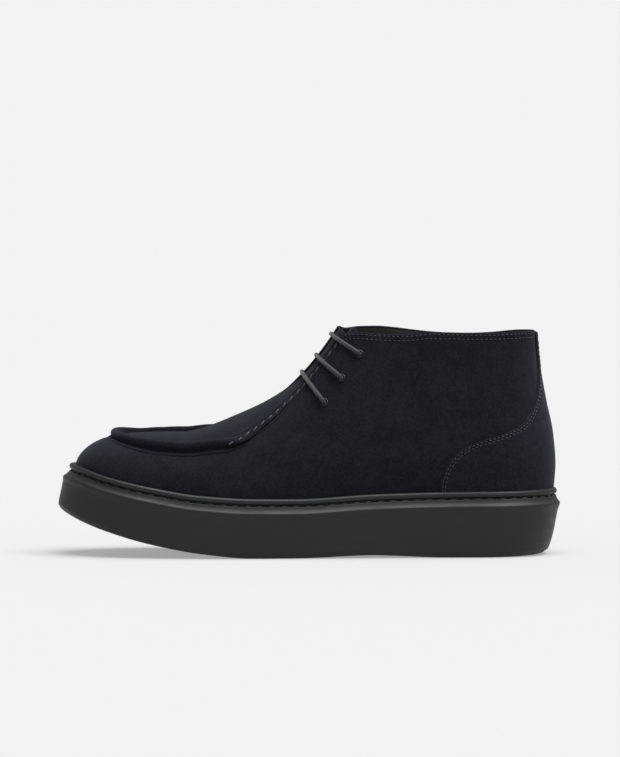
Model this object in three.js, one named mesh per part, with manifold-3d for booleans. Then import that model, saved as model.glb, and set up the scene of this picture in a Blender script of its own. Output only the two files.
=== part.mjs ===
// Moc-toe chukka boot for the left foot, standing empty on its sole.
// Millimetres, +Z up, toe towards -X, outer side of the foot towards -Y.
// The origin lies on the floor under the middle of the sole.
//
// Every piece is worked out from one last: an outline where the upper meets the sole (the feather
// line), a top line along the instep, and a shaft that leans and narrows above the heel.
import * as THREE from 'three';
import { mergeVertices } from 'three/addons/utils/BufferGeometryUtils.js';
import Module from 'manifold-3d';

const wasm = await Module();
wasm.setup();

// ---------------------------------------------------------------------------------------------
// Driving dimensions
// ---------------------------------------------------------------------------------------------
const SOLE_LENGTH = 305;
const TOE = 9.3; // station of the upper's toe; stations are counted from the front of the sole
const HEEL = 299.4; // station of the upper's heel
const TOE_ROUND = 52; // length over which the outline rounds in at the toe
const HEEL_ROUND = 40;
const TOE_CROWN = 24; // length over which the toe box rises to full height
const WALL = 2.2; // leather and lining together
const GAP = 0.3; // between pieces that meet
const SOLE_MARGIN = 5.5; // how far the sole's lip stands out past the upper
const TOE_MARGIN = 2.6; // and how much more at the toe
const SEAT_DEPTH = 3; // the cup's floor below the lip
const FEATHER_RISE = 5.9; // the upper's wall is upright this far above the lip
const INSOLE_THICKNESS = 3.2;
const THROAT = 136; // station where the lacing slit starts
const COLLAR_FRONT = 175.4; // station where the slit meets the collar
const THROAT_GAP = 7; // width of the slit at the collar
const FOREFOOT_TILT = 0.0615; // slope of the forefoot's top, which is higher on the inner side
const TONGUE_THICKNESS = 2.2;
const COUNTER_THICKNESS = 1.2;
const LACE_RADIUS = 1.2;
const CLOSE = 1e-4; // tolerance for merging vertices

// Half breadths of the feather line from its centre, before toe and heel are rounded in.
const OUTLINE = [
  { station: 9, centre: 4, outer: 44, inner: 41 },
  { station: 30, centre: 3, outer: 45.5, inner: 43 },
  { station: 60, centre: 1.5, outer: 46, inner: 44.5 },
  { station: 95, centre: 0, outer: 47.6, inner: 48.2 },
  { station: 125, centre: 0, outer: 47.4, inner: 45.5 },
  { station: 160, centre: 0, outer: 43.7, inner: 38.5 },
  { station: 200, centre: 0, outer: 39, inner: 34 },
  { station: 240, centre: 0, outer: 36.8, inner: 34.2 },
  { station: 275, centre: 0, outer: 35.8, inner: 34.5 },
  { station: 300, centre: 0, outer: 35.5, inner: 34.5 },
];

// Heights of the sole: its tread, curved up at the toe and arched at the waist, and its lip.
const SOLE = [
  { station: 0, tread: 27.4, lip: 47.7 },
  { station: 12, tread: 21.8, lip: 45.1 },
  { station: 28, tread: 16, lip: 40.3 },
  { station: 55, tread: 8.5, lip: 34.3 },
  { station: 85, tread: 2.9, lip: 29.4 },
  { station: 118, tread: 0, lip: 27.4 },
  { station: 145, tread: 0, lip: 27.3 },
  { station: 190, tread: 1.5, lip: 29.8 },
  { station: 236, tread: 0, lip: 31 },
  { station: 305, tread: 0, lip: 31.6 },
];

// Top line of the last. Past the collar's front it runs on upwards, which opens the shaft.
const TOP_LINE = [
  { station: 8, height: 70.4, fullness: 2.4 },
  { station: 30, height: 71, fullness: 2.45 },
  { station: 45, height: 73, fullness: 2.5 },
  { station: 60, height: 73.6, fullness: 2.5 },
  { station: 76, height: 73.8, fullness: 2.45 },
  { station: 88, height: 76.4, fullness: 2.4 },
  { station: 96, height: 79.4, fullness: 2.3 },
  { station: 104, height: 82.8, fullness: 2.2 },
  { station: 128, height: 94.3, fullness: 2.05 },
  { station: 146.2, height: 107, fullness: 2 },
  { station: 159.9, height: 120.9, fullness: 2 },
  { station: 173.6, height: 137.2, fullness: 2 },
  { station: 205, height: 178.2, fullness: 2 },
  { station: 300, height: 314, fullness: 2 },
];

// The shaft seen from the side and from behind: where its back stands, and how far it narrows.
const SHAFT = [
  { height: 40, back: 299.6, girth: 1 },
  { height: 54.9, back: 300.7, girth: 1.03 },
  { height: 73.8, back: 299.2, girth: 1 },
  { height: 93.7, back: 295.1, girth: 0.93 },
  { height: 113.6, back: 291.7, girth: 0.86 },
  { height: 137.4, back: 289.8, girth: 0.8 },
  { height: 163.3, back: 289.4, girth: 0.77 },
];
const SHAFT_START = 140;
const SHAFT_FULL = 215;

// Height of the collar's edge on either side.
const COLLAR = [
  { station: 170, outer: 139.8, inner: 139.8 },
  { station: 174, outer: 139.2, inner: 139.4 },
  { station: 179, outer: 135.6, inner: 137.8 },
  { station: 189, outer: 136.3, inner: 138.4 },
  { station: 201.5, outer: 135.5, inner: 138.3 },
  { station: 213.5, outer: 135.1, inner: 137.3 },
  { station: 224, outer: 135.4, inner: 135.9 },
  { station: 235, outer: 136.5, inner: 134.6 },
  { station: 247, outer: 136.3, inner: 133.8 },
  { station: 260, outer: 136, inner: 133.6 },
  { station: 273, outer: 136, inner: 134.2 },
  { station: 288, outer: 136.3, inner: 135.8 },
  { station: 300, outer: 136.5, inner: 136.5 },
];

// The raised moccasin seam, from the front of the apron up either side of the throat.
const RIDGE_FRONT = 33.6;
const RIDGE_ROUND = 32;
const RIDGE_END = 170;
const RIDGE = [
  { station: 33, spread: 30, height: 4.7, width: 5.2, upright: 0.8, inner: -1 },
  { station: 46, spread: 30.4, height: 5.2, width: 5.2, upright: 0.8, inner: -0.2 },
  { station: 60, spread: 30.7, height: 5.9, width: 5.2, upright: 0.8, inner: 1.8 },
  { station: 75, spread: 31.3, height: 5.6, width: 5.2, upright: 0.8, inner: 2.9 },
  { station: 90, spread: 32, height: 5.2, width: 5.2, upright: 0.75, inner: 2.3 },
  { station: 103, spread: 33, height: 4.2, width: 5.6, upright: 0.55, inner: 1 },
  { station: 111, spread: 32.4, height: 2.6, width: 7.4, upright: 0.25, inner: 0.3 },
  { station: 117, spread: 30.6, height: 1.9, width: 6.2, upright: 0.1, inner: 0 },
  { station: 123, spread: 27.9, height: 1.4, width: 4.6, upright: 0, inner: 0 },
  { station: 130, spread: 25, height: 1.1, width: 4, upright: 0, inner: 0 },
  { station: 138, spread: 21.3, height: 0.8, width: 3.8, upright: 0, inner: 0 },
  { station: 146, spread: 18.4, height: 0.5, width: 3.6, upright: 0, inner: 0 },
  { station: 155, spread: 16, height: 0.5, width: 3.6, upright: 0, inner: 0 },
  { station: 172, spread: 15, height: 0.4, width: 3.4, upright: 0, inner: 0 },
];

// Front edge of the heel counter as seen from the side, ending in a neck up the back seam.
const COUNTER_EDGE = [
  { station: 231, height: 38 },
  { station: 232, height: 46 },
  { station: 235, height: 54.5 },
  { station: 241, height: 62.6 },
  { station: 249.5, height: 68.4 },
  { station: 256, height: 70.9 },
  { station: 262, height: 72.7 },
  { station: 267.5, height: 74.4 },
  { station: 272.1, height: 76 },
  { station: 279.6, height: 79.4 },
  { station: 284.1, height: 83.4 },
  { station: 287, height: 88.6 },
  { station: 289.3, height: 94.4 },
  { station: 290.4, height: 100.2 },
  { station: 290.9, height: 106 },
  { station: 290.9, height: 113 },
  { station: 290.05, height: 123.1 },
  { station: 289.2, height: 135.6 },
];

// Lacing: the eyelets on the sides, and the station where each bar of lace crosses the front.
const EYELETS = [
  { station: 161, height: 94.2, crossing: 149.2 },
  { station: 171.5, height: 108.7, crossing: 159.2 },
  { station: 182.4, height: 123.1, crossing: 170.3 },
];
const EYELET = { flange: 2.65, proud: 0.5, barrel: 1.85, bore: 1.55, hole: 2.15, depth: 2.3 };

// ---------------------------------------------------------------------------------------------
// Curves through the tables
// ---------------------------------------------------------------------------------------------
const clamp01 = (t) => Math.min(1, Math.max(0, t));
const mix = (a, b, t) => a + (b - a) * t;
const eased = (t) => clamp01(t) ** 2 * (3 - 2 * clamp01(t));

// Quarter circle: 0 at t = 0, 1 from t = 1 on.
const rounded = (t) => Math.sqrt(1 - (1 - clamp01(t)) ** 2);

// A smooth curve through one column of a table, which never overshoots its rows.
function curve(rows, key, column) {
  const keys = rows.map((row) => row[key]);
  const values = rows.map((row) => row[column]);
  const steps = keys.slice(1).map((k, i) => k - keys[i]);
  const slopes = steps.map((step, i) => (values[i + 1] - values[i]) / step);
  const tangents = keys.map((_, i) => {
    if (i === 0) return slopes[0];
    if (i === keys.length - 1) return slopes[i - 1];
    const before = slopes[i - 1];
    const after = slopes[i];
    return before * after <= 0 ? 0 : (2 * before * after) / (before + after);
  });
  return (at) => {
    const k = Math.min(keys[keys.length - 1], Math.max(keys[0], at));
    let i = 0;
    while (i < steps.length - 1 && k > keys[i + 1]) i += 1;
    const t = (k - keys[i]) / steps[i];
    const rise = (values[i + 1] - values[i]) * t * t * (3 - 2 * t);
    const lean = (tangents[i] * (1 - t) - tangents[i + 1] * t) * t * (1 - t) * steps[i];
    return values[i] + rise + lean;
  };
}

const centre = curve(OUTLINE, 'station', 'centre');
const breadthOf = {
  outer: curve(OUTLINE, 'station', 'outer'),
  inner: curve(OUTLINE, 'station', 'inner'),
};
const tread = curve(SOLE, 'station', 'tread');
const lip = curve(SOLE, 'station', 'lip');
const topLine = curve(TOP_LINE, 'station', 'height');
const fullness = curve(TOP_LINE, 'station', 'fullness');
const shaftBack = curve(SHAFT, 'height', 'back');
const shaftGirth = curve(SHAFT, 'height', 'girth');
const collarOf = {
  outer: curve(COLLAR, 'station', 'outer'),
  inner: curve(COLLAR, 'station', 'inner'),
};
const ridge = Object.fromEntries(
  ['spread', 'height', 'width', 'upright', 'inner'].map((name) => [name, curve(RIDGE, 'station', name)]),
);

const toX = (station) => station - SOLE_LENGTH / 2;

// ---------------------------------------------------------------------------------------------
// Meshes and solids
// ---------------------------------------------------------------------------------------------

// A closed mesh from triangles given as corner points: shared corners merged, slivers dropped.
function closedMesh(triangles) {
  const geometry = new THREE.BufferGeometry();
  const positions = triangles.flat().flatMap((p) => [p.x, p.y, p.z]);
  geometry.setAttribute('position', new THREE.Float32BufferAttribute(positions, 3));
  return withoutSlivers(mergeVertices(geometry, CLOSE));
}

function withoutSlivers(geometry) {
  const index = geometry.getIndex().array;
  const kept = [];
  for (let i = 0; i < index.length; i += 3) {
    const [a, b, c] = [index[i], index[i + 1], index[i + 2]];
    if (a !== b && b !== c && c !== a) kept.push(a, b, c);
  }
  geometry.setIndex(kept);
  return geometry;
}

const quad = (a, b, c, d) => [[a, b, c], [a, c, d]];

// Quads between neighbouring rings. Going round a ring and then on to the next turns outwards.
function skin(rings) {
  const triangles = [];
  for (let r = 0; r < rings.length - 1; r += 1) {
    const [low, high] = [rings[r], rings[r + 1]];
    low.forEach((point, i) => {
      const next = (i + 1) % low.length;
      triangles.push(...quad(point, low[next], high[next], high[i]));
    });
  }
  return triangles;
}

// Closes an outline ring by rungs from its outer side to its inner side.
function ladder(ring, facingUp) {
  const triangles = [];
  const half = ring.length / 2;
  for (let i = 0; i < half; i += 1) {
    const near = [ring[i], ring[i + 1]];
    const far = [ring[(ring.length - i) % ring.length], ring[ring.length - i - 1]];
    triangles.push(...(facingUp
      ? quad(near[0], near[1], far[1], far[0])
      : quad(near[0], far[0], far[1], near[1])));
  }
  return triangles;
}

// Closes a small convex ring by a fan.
function fan(ring, reversed) {
  const triangles = [];
  for (let i = 1; i < ring.length - 1; i += 1) {
    triangles.push(reversed ? [ring[0], ring[i + 1], ring[i]] : [ring[0], ring[i], ring[i + 1]]);
  }
  return triangles;
}

// A rod through small convex rings, closed at both ends.
const rod = (rings) =>
  closedMesh([...fan(rings[0], true), ...skin(rings), ...fan(rings[rings.length - 1], false)]);

function toManifold(source) {
  const geometry = source.index ? source.toNonIndexed() : source.clone();
  geometry.deleteAttribute('normal');
  geometry.deleteAttribute('uv');
  const merged = withoutSlivers(mergeVertices(geometry, CLOSE));
  return new wasm.Manifold(new wasm.Mesh({
    numProp: 3,
    vertProperties: new Float32Array(merged.getAttribute('position').array),
    triVerts: new Uint32Array(merged.getIndex().array),
  }));
}

function fromManifold(solid) {
  const mesh = solid.getMesh();
  const geometry = new THREE.BufferGeometry();
  geometry.setAttribute('position', new THREE.BufferAttribute(mesh.vertProperties, 3));
  geometry.setIndex([...mesh.triVerts]);
  return geometry;
}

// ---------------------------------------------------------------------------------------------
// The last
// ---------------------------------------------------------------------------------------------
const angleAt = (station) => Math.acos(1 - (2 * (station - TOE)) / (HEEL - TOE));

// The section through the feather line at an angle: 0 at the toe, pi at the heel, and the outer
// side comes first.
function sectionAt(angle) {
  const station = mix(TOE, HEEL, (1 - Math.cos(angle)) / 2);
  const outer = Math.sin(angle) >= 0;
  const side = outer ? 'outer' : 'inner';
  const ends = rounded((station - TOE) / TOE_ROUND) * rounded((HEEL - station) / HEEL_ROUND);
  const base = lip(station) + FEATHER_RISE;
  return {
    station,
    side,
    sign: outer ? -1 : 1,
    half: breadthOf[side](station) * ends,
    base,
    height: (topLine(station) - base) * rounded((station - TOE) / TOE_CROWN),
    shaft: eased((station - SHAFT_START) / (SHAFT_FULL - SHAFT_START)),
    tilt: FOREFOOT_TILT * eased((station - 12) / 30) * (1 - eased((station - 130) / 45)),
  };
}

// A point of the feather line moved outwards in plan, at the height that a rule gives. The outset
// may depend on how far the edge faces the toe (towards -1) or the heel (towards +1).
function featherPoint(angle, outset, heightAt) {
  const at = (turn) => {
    const section = sectionAt(turn);
    return new THREE.Vector2(section.station, centre(section.station) + section.sign * section.half);
  };
  const step = 1e-3;
  const along = at(angle + step).sub(at(angle - step)).normalize();
  const outwards = new THREE.Vector2(along.y, -along.x);
  const place = at(angle).addScaledVector(outwards, outset(outwards.x));
  return new THREE.Vector3(toX(place.x), place.y, heightAt(place.x));
}

// A point of the last: climb 0 at the feather line, 1 on the top line. Each section is half of a
// flattened oval, tilted at the forefoot, which the shaft leans and narrows.
function lastPoint(angle, climb) {
  const section = sectionAt(angle);
  const turn = (climb * Math.PI) / 2;
  const z = section.base + section.height * Math.sin(turn);
  const reach = Math.max(0, Math.cos(turn)) ** (2 / fullness(section.station));
  const girth = mix(1, shaftGirth(z), section.shaft);
  const lean = (shaftBack(z) - HEEL) * section.shaft;
  const aside = section.sign * section.half * reach * girth;
  const rise = section.tilt * aside * Math.sin(turn);
  return new THREE.Vector3(toX(section.station + lean), centre(section.station) + aside, z + rise);
}

function lastNormal(angle, climb) {
  const step = 1e-3;
  if (sectionAt(angle).height < CLOSE) return new THREE.Vector3(-1, 0, 0);
  const around = lastPoint(angle + step, climb).sub(lastPoint(angle - step, climb));
  if (climb > 1 - step) {
    const rearwards = around.multiplyScalar(Math.sign(around.x));
    return new THREE.Vector3(-rearwards.z, 0, rearwards.x).normalize();
  }
  const upwards = lastPoint(angle, climb + step).sub(lastPoint(angle, climb - step));
  return around.cross(upwards).normalize();
}

// A point on a form that lies a given distance outside the last (or inside, if negative).
const formPoint = (angle, climb, offset) =>
  lastPoint(angle, climb).addScaledVector(lastNormal(angle, climb), offset);

// Halves an interval until a falling measure meets its target.
function solve(low, high, target, measure) {
  let [a, b] = [low, high];
  for (let i = 0; i < 40; i += 1) {
    const middle = (a + b) / 2;
    if (measure(middle) > target) a = middle;
    else b = middle;
  }
  return (a + b) / 2;
}

const spreadAt = (angle, climb) =>
  Math.abs(lastPoint(angle, climb).y - centre(sectionAt(angle).station));
const climbAtSpread = (angle, spread) => solve(0, 1, spread, (c) => spreadAt(angle, c));
const climbAtHeight = (angle, height) => solve(0, 1, -height, (c) => -lastPoint(angle, c).z);
const angleOn = (station, side) => (side === 'outer' ? angleAt(station) : -angleAt(station));

// The angle and climb of a point seen from the side at a station and height.
function spotAt(station, height, side) {
  const distance = (nominal) => {
    const angle = angleOn(nominal, side);
    return -lastPoint(angle, climbAtHeight(angle, height)).x;
  };
  const angle = angleOn(solve(station - 2, station + 12, -toX(station), distance), side);
  return { angle, climb: climbAtHeight(angle, height) };
}

// Where the upper ends: the top line in front, the slit's edge along the throat, then the collar.
function topClimb(angle) {
  const { station, side } = sectionAt(angle);
  if (station <= THROAT + CLOSE) return 1;
  const opening = THROAT_GAP / 2 * rounded((station - THROAT) / (COLLAR_FRONT - THROAT) + 0.05);
  const slit = climbAtSpread(angle, opening);
  return Math.min(slit, climbAtHeight(angle, collarOf[side](station)));
}

// Angles round the whole outline: front to the throat, the throat, then the shaft, and back.
function anglesAround(front, throat, shaft) {
  const marks = [0, angleAt(THROAT), angleAt(COLLAR_FRONT), Math.PI];
  const counts = [front, throat, shaft];
  const half = counts.flatMap((count, i) =>
    Array.from({ length: count }, (_, k) => mix(marks[i], marks[i + 1], k / count)));
  const back = half.slice(1).reverse().map((angle) => 2 * Math.PI - angle);
  return [...half, Math.PI, ...back];
}

// ---------------------------------------------------------------------------------------------
// Sole, welt and insole
// ---------------------------------------------------------------------------------------------

// Section of the sole's edge from the tread to the seat. share: 0 at the tread, 1 at the lip;
// lift: added height; outset: from the upper's wall; draft: share of the taper towards the tread;
// reach: share of the toe's wider margin; heel: how far it is rounded in behind the heel.
const SOLE_EDGE = [
  { share: 0, lift: 0, outset: SOLE_MARGIN - 3.4, draft: 1, reach: 1, heel: 9 },
  { share: 0, lift: 0.9, outset: SOLE_MARGIN - 1, draft: 1, reach: 1, heel: 5 },
  { share: 0, lift: 3.4, outset: SOLE_MARGIN, draft: 1, reach: 1, heel: 1.6 },
  { share: 0.5, lift: 0, outset: SOLE_MARGIN - 0.4, draft: 0.55, reach: 1, heel: 0 },
  { share: 1, lift: -3.4, outset: SOLE_MARGIN - 0.6, draft: 0.1, reach: 0.9, heel: 0 },
  { share: 1, lift: -0.9, outset: SOLE_MARGIN - 0.1, draft: 0, reach: 0.75, heel: 0 },
  { share: 1, lift: 0.4, outset: SOLE_MARGIN - 0.25, draft: 0, reach: 0.65, heel: 0 },
  { share: 1, lift: 2, outset: SOLE_MARGIN - 1.3, draft: 0, reach: 0.5, heel: 0 },
  { share: 1, lift: 5.3, outset: SOLE_MARGIN - 2.7, draft: 0, reach: 0, heel: 0 },
  { share: 1, lift: 5.3, outset: GAP, draft: 0, reach: 0, heel: 0 },
  { share: 1, lift: -SEAT_DEPTH, outset: GAP, draft: 0, reach: 0, heel: 0 },
];
const TOE_FLARE = 2.2; // the tread stands out past the lip at the toe
const HEEL_TAPER = 5.6; // and is drawn in behind the heel
const SIDE_TAPER = 2;

// How far the tread is drawn in under the lip, where the edge faces a given way.
function taperTowards(facing) {
  const end = facing < 0 ? -TOE_FLARE : HEEL_TAPER;
  return mix(SIDE_TAPER, end, facing ** 2);
}

const soleAngles = Array.from({ length: 68 }, (_, i) => (i / 68) * 2 * Math.PI);

const soleRing = (row) => soleAngles.map((angle) => {
  const outset = (facing) => row.outset - row.draft * taperTowards(facing)
    + (facing < 0 ? row.reach * TOE_MARGIN * facing ** 2 : -row.heel * facing);
  const height = (station) => mix(tread(station), lip(station), row.share) + row.lift;
  return featherPoint(angle, outset, height);
});

function outsoleGeometry() {
  const rings = SOLE_EDGE.map(soleRing);
  const seat = rings[rings.length - 1];
  return closedMesh([...ladder(rings[0], false), ...skin(rings), ...ladder(seat, true)]);
}

// The welt is a rounded bead lying on the sole's rim against the upper.
const WELT_SECTION = [
  { lift: 5.6, outset: GAP },
  { lift: 5.6, outset: SOLE_MARGIN - 2.9 },
  { lift: 6.5, outset: SOLE_MARGIN - 2.2 },
  { lift: 7.9, outset: SOLE_MARGIN - 2.3 },
  { lift: 9, outset: SOLE_MARGIN - 3.4 },
  { lift: 9, outset: SOLE_MARGIN - 4.4 },
];

function weltGeometry() {
  const rings = WELT_SECTION.map((row) => soleRing({ share: 1, draft: 0, reach: 0, heel: 0, ...row }));
  return closedMesh(skin([...rings, rings[0]]));
}

function insoleGeometry() {
  const under = GAP - SEAT_DEPTH;
  const outset = -WALL - GAP;
  const rings = [under, under + INSOLE_THICKNESS].map((lift) =>
    soleRing({ share: 1, draft: 0, reach: 0, heel: 0, lift, outset }));
  return closedMesh([...ladder(rings[0], false), ...skin(rings), ...ladder(rings[1], true)]);
}

// ---------------------------------------------------------------------------------------------
// Upper: one hollow wall with its raised seam and its lace holes
// ---------------------------------------------------------------------------------------------
const UPPER_ROWS = 9;
const upperAngles = anglesAround(20, 7, 14);

// The wall cut through at one angle: up the outside, over the edge, down the inside.
function wallLoop(angle) {
  const top = topClimb(angle);
  const climbs = Array.from({ length: UPPER_ROWS + 1 }, (_, i) => (top * i) / UPPER_ROWS);
  const foot = (station) => lip(station) - SEAT_DEPTH + GAP;
  return [
    featherPoint(angle, () => 0, foot),
    ...climbs.map((climb) => lastPoint(angle, climb)),
    ...climbs.reverse().map((climb) => formPoint(angle, climb, -WALL)),
    featherPoint(angle, () => -WALL, foot),
  ];
}

function wallGeometry() {
  const loops = upperAngles.map(wallLoop);
  const edge = UPPER_ROWS + 1;
  const closed = (i) => sectionAt(upperAngles[i]).station <= THROAT + CLOSE;
  const triangles = [];
  loops.forEach((loop, i) => {
    const j = (i + 1) % loops.length;
    loop.forEach((point, m) => {
      if (m === edge && closed(i) && closed(j)) return;
      const n = (m + 1) % loop.length;
      triangles.push(...quad(point, loops[j][m], loops[j][n], loop[n]));
    });
  });
  return closedMesh(triangles);
}

// The seam's section, as shares of its width and height; its root is sunk in the wall.
const RIDGE_SECTION = [
  { across: -0.4, rise: -0.2 },
  { across: -0.5, rise: 0.4 },
  { across: -0.36, rise: 0.86 },
  { across: 0, rise: 1 },
  { across: 0.36, rise: 0.86 },
  { across: 0.5, rise: 0.4 },
  { across: 0.4, rise: -0.2 },
];
const RIDGE_ROOT = 1.1;

function ridgePath() {
  const rounding = Array.from({ length: 9 }, (_, i) => RIDGE_FRONT
    + RIDGE_ROUND * (1 - Math.cos((i / 9) * (Math.PI / 2))));
  const rest = RIDGE_FRONT + RIDGE_ROUND;
  const straight = Array.from({ length: 17 }, (_, i) => mix(rest, RIDGE_END, i / 16));
  const spots = [...rounding, ...straight].map((station) => ({
    station,
    spread: ridge.spread(station) * rounded((station - RIDGE_FRONT) / RIDGE_ROUND),
  }));
  const onSide = (side) => spots.map(({ station, spread }) => {
    const angle = angleOn(station, side);
    const climb = climbAtSpread(angle, spread);
    const extra = side === 'inner' ? ridge.inner(station) * eased((station - RIDGE_FRONT) / 12) : 0;
    const height = ridge.height(station) + extra;
    return { station, height, point: lastPoint(angle, climb), normal: lastNormal(angle, climb) };
  });
  return [...onSide('inner').reverse(), ...onSide('outer').slice(1)];
}

function ridgeGeometry() {
  const path = ridgePath();
  const rings = path.map(({ station, height, point, normal }, i) => {
    const before = path[Math.max(0, i - 1)].point;
    const after = path[Math.min(path.length - 1, i + 1)].point;
    const along = after.clone().sub(before).normalize();
    const up = normal.clone().lerp(new THREE.Vector3(0, 0, 1), ridge.upright(station));
    const across = along.clone().cross(up).normalize();
    up.crossVectors(across, along).normalize();
    return RIDGE_SECTION.map((row) => {
      const rise = row.rise < 0 ? -RIDGE_ROOT : row.rise * height;
      return point.clone()
        .addScaledVector(across, row.across * ridge.width(station))
        .addScaledVector(up, rise);
    });
  });
  return rod(rings);
}

// Eyelet spots on both sides, lowest first, with their places and outward directions.
const eyeletSpots = ['outer', 'inner'].flatMap((side) => EYELETS.map((row, i) => {
  const { angle, climb } = spotAt(row.station, row.height, side);
  const point = lastPoint(angle, climb);
  return { name: `eyelet_${side}_${i + 1}`, side, row, point, normal: lastNormal(angle, climb) };
}));

function turnedTo(geometry, { point, normal }) {
  const turn = new THREE.Quaternion().setFromUnitVectors(new THREE.Vector3(0, 0, 1), normal);
  return geometry.applyQuaternion(turn).translate(point.x, point.y, point.z);
}

function upperGeometry() {
  let upper = toManifold(wallGeometry()).add(toManifold(ridgeGeometry()));
  for (const spot of eyeletSpots) {
    const drill = new THREE.CylinderGeometry(EYELET.hole, EYELET.hole, 4 * WALL, 12);
    upper = upper.subtract(toManifold(turnedTo(drill.rotateX(Math.PI / 2), spot)));
  }
  return fromManifold(upper);
}

function eyeletGeometry(spot) {
  const crown = GAP + EYELET.proud;
  const profile = [
    [EYELET.bore, -EYELET.depth],
    [EYELET.barrel, -EYELET.depth],
    [EYELET.barrel, GAP],
    [EYELET.flange, GAP],
    [EYELET.flange - 0.3, crown],
    [EYELET.bore, crown],
    [EYELET.bore, -EYELET.depth],
  ].map(([radius, height]) => new THREE.Vector2(radius, height));
  const ring = new THREE.LatheGeometry(profile, 12).rotateX(Math.PI / 2);
  return turnedTo(ring, spot);
}

// ---------------------------------------------------------------------------------------------
// Heel counter: a patch between two forms just outside the upper, from the welt to the collar
// ---------------------------------------------------------------------------------------------
const COUNTER_COLUMNS = 20;
const COUNTER_GAP = 0.55; // a little more than elsewhere, as both sides are curved facets
const WELT_TOP = 9;

// Joins an outer and an inner grid of the same size into one closed plate. A row runs along the
// grid's first direction; first direction across second direction points outwards.
function plate(outerGrid, innerGrid) {
  const triangles = [];
  const rows = outerGrid.length;
  const columns = outerGrid[0].length;
  for (let r = 0; r < rows - 1; r += 1) {
    for (let c = 0; c < columns - 1; c += 1) {
      const corners = (grid) => [grid[r][c], grid[r][c + 1], grid[r + 1][c + 1], grid[r + 1][c]];
      triangles.push(...quad(...corners(outerGrid)), ...quad(...corners(innerGrid).reverse()));
    }
  }
  const border = (grid) => [
    ...grid[0].slice(0, -1),
    ...grid.slice(0, -1).map((row) => row[columns - 1]),
    ...grid[rows - 1].slice(1).reverse(),
    ...grid.slice(1).map((row) => row[0]).reverse(),
  ];
  const edge = skin([border(innerGrid), border(outerGrid)]);
  return closedMesh([...triangles, ...edge]);
}

function counterGeometry() {
  const low = lip(HEEL) + WELT_TOP + GAP;
  const edgeStation = curve(COUNTER_EDGE, 'height', 'station');
  const heights = [low, ...COUNTER_EDGE.map((row) => row.height).filter((z) => z > low + 1)];
  const grid = (offset) => heights.map((height) => {
    const station = edgeStation(height);
    const start = spotAt(station, height, 'outer').angle;
    const end = 2 * Math.PI + spotAt(station, height, 'inner').angle;
    return Array.from({ length: COUNTER_COLUMNS + 1 }, (_, c) => {
      const angle = mix(start, end, c / COUNTER_COLUMNS);
      return formPoint(angle, climbAtHeight(angle, height), offset);
    });
  });
  return plate(grid(COUNTER_GAP + COUNTER_THICKNESS), grid(COUNTER_GAP));
}

// ---------------------------------------------------------------------------------------------
// Tongue: a plate under the throat, from beneath the apron to just above the collar
// ---------------------------------------------------------------------------------------------
const TONGUE_START = 112;
const TONGUE_TOP = 139;
const TONGUE_DROP = 12; // its top corners are rounded down
const TONGUE_HALF_WIDTH = 21;
const TONGUE_DEPTH = 6.2; // its outer face below the upper's, which leaves room for the lace
const TONGUE_ROWS = 12;
const TONGUE_COLUMNS = 12;

function tongueGeometry() {
  const spotOn = (side, station, spread) => {
    const angle = angleOn(station, side);
    return { angle, climb: climbAtSpread(angle, spread) };
  };
  const columns = Array.from({ length: TONGUE_COLUMNS + 1 }, (_, c) => {
    const across = (2 * c) / TONGUE_COLUMNS - 1;
    const side = across > 0 ? 'inner' : 'outer';
    const spread = Math.abs(across) * TONGUE_HALF_WIDTH;
    const rising = (station) => {
      const { angle, climb } = spotOn(side, station, spread);
      return -formPoint(angle, climb, -TONGUE_DEPTH).z;
    };
    const top = TONGUE_TOP - TONGUE_DROP * across ** 4;
    const end = solve(TONGUE_START, HEEL - HEEL_ROUND, -top, rising);
    return { side, spread, end };
  });
  const grid = (depth) => columns.map(({ side, spread, end }) =>
    Array.from({ length: TONGUE_ROWS + 1 }, (_, r) => {
      const { angle, climb } = spotOn(side, mix(TONGUE_START, end, r / TONGUE_ROWS), spread);
      return formPoint(angle, climb, -depth);
    }));
  return plate(grid(TONGUE_DEPTH), grid(TONGUE_DEPTH + TONGUE_THICKNESS));
}

// ---------------------------------------------------------------------------------------------
// Lace: three bars across the throat, joined by hidden strands behind the facings
// ---------------------------------------------------------------------------------------------
const LACE_SIDES = 8;
const LACE_BEND = 1.6;
const BAR_OFFSET = GAP + EYELET.proud + LACE_BEND; // of the lace's middle where it leaves an eyelet
const CREST_OFFSET = 2; // and where it lies on the facings
const STRAND_OFFSET = -(WALL + 1 + LACE_RADIUS);
const BAR_STEPS = [0.4, 0.68, 0.86, 0.96];
const TAIL_ASIDE = 5; // how far the hidden tail runs behind the other strands

const eyeletAt = (side, row) => eyeletSpots.find((spot) => spot.side === side && spot.row === row);

function spotPoint(station, height, side, offset) {
  const { angle, climb } = spotAt(station, height, side);
  return formPoint(angle, climb, offset);
}

// Half a bar, from near the eyelet up to the front of the throat.
function halfBar(side, row) {
  const crest = lastPoint(angleAt(row.crossing), 1);
  const crestStation = crest.x + SOLE_LENGTH / 2;
  return BAR_STEPS.map((t, i) => {
    const offset = i === 0 ? (BAR_OFFSET + CREST_OFFSET) / 2 : CREST_OFFSET;
    return spotPoint(mix(row.station, crestStation, t), mix(row.height, crest.z, t), side, offset);
  });
}

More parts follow.
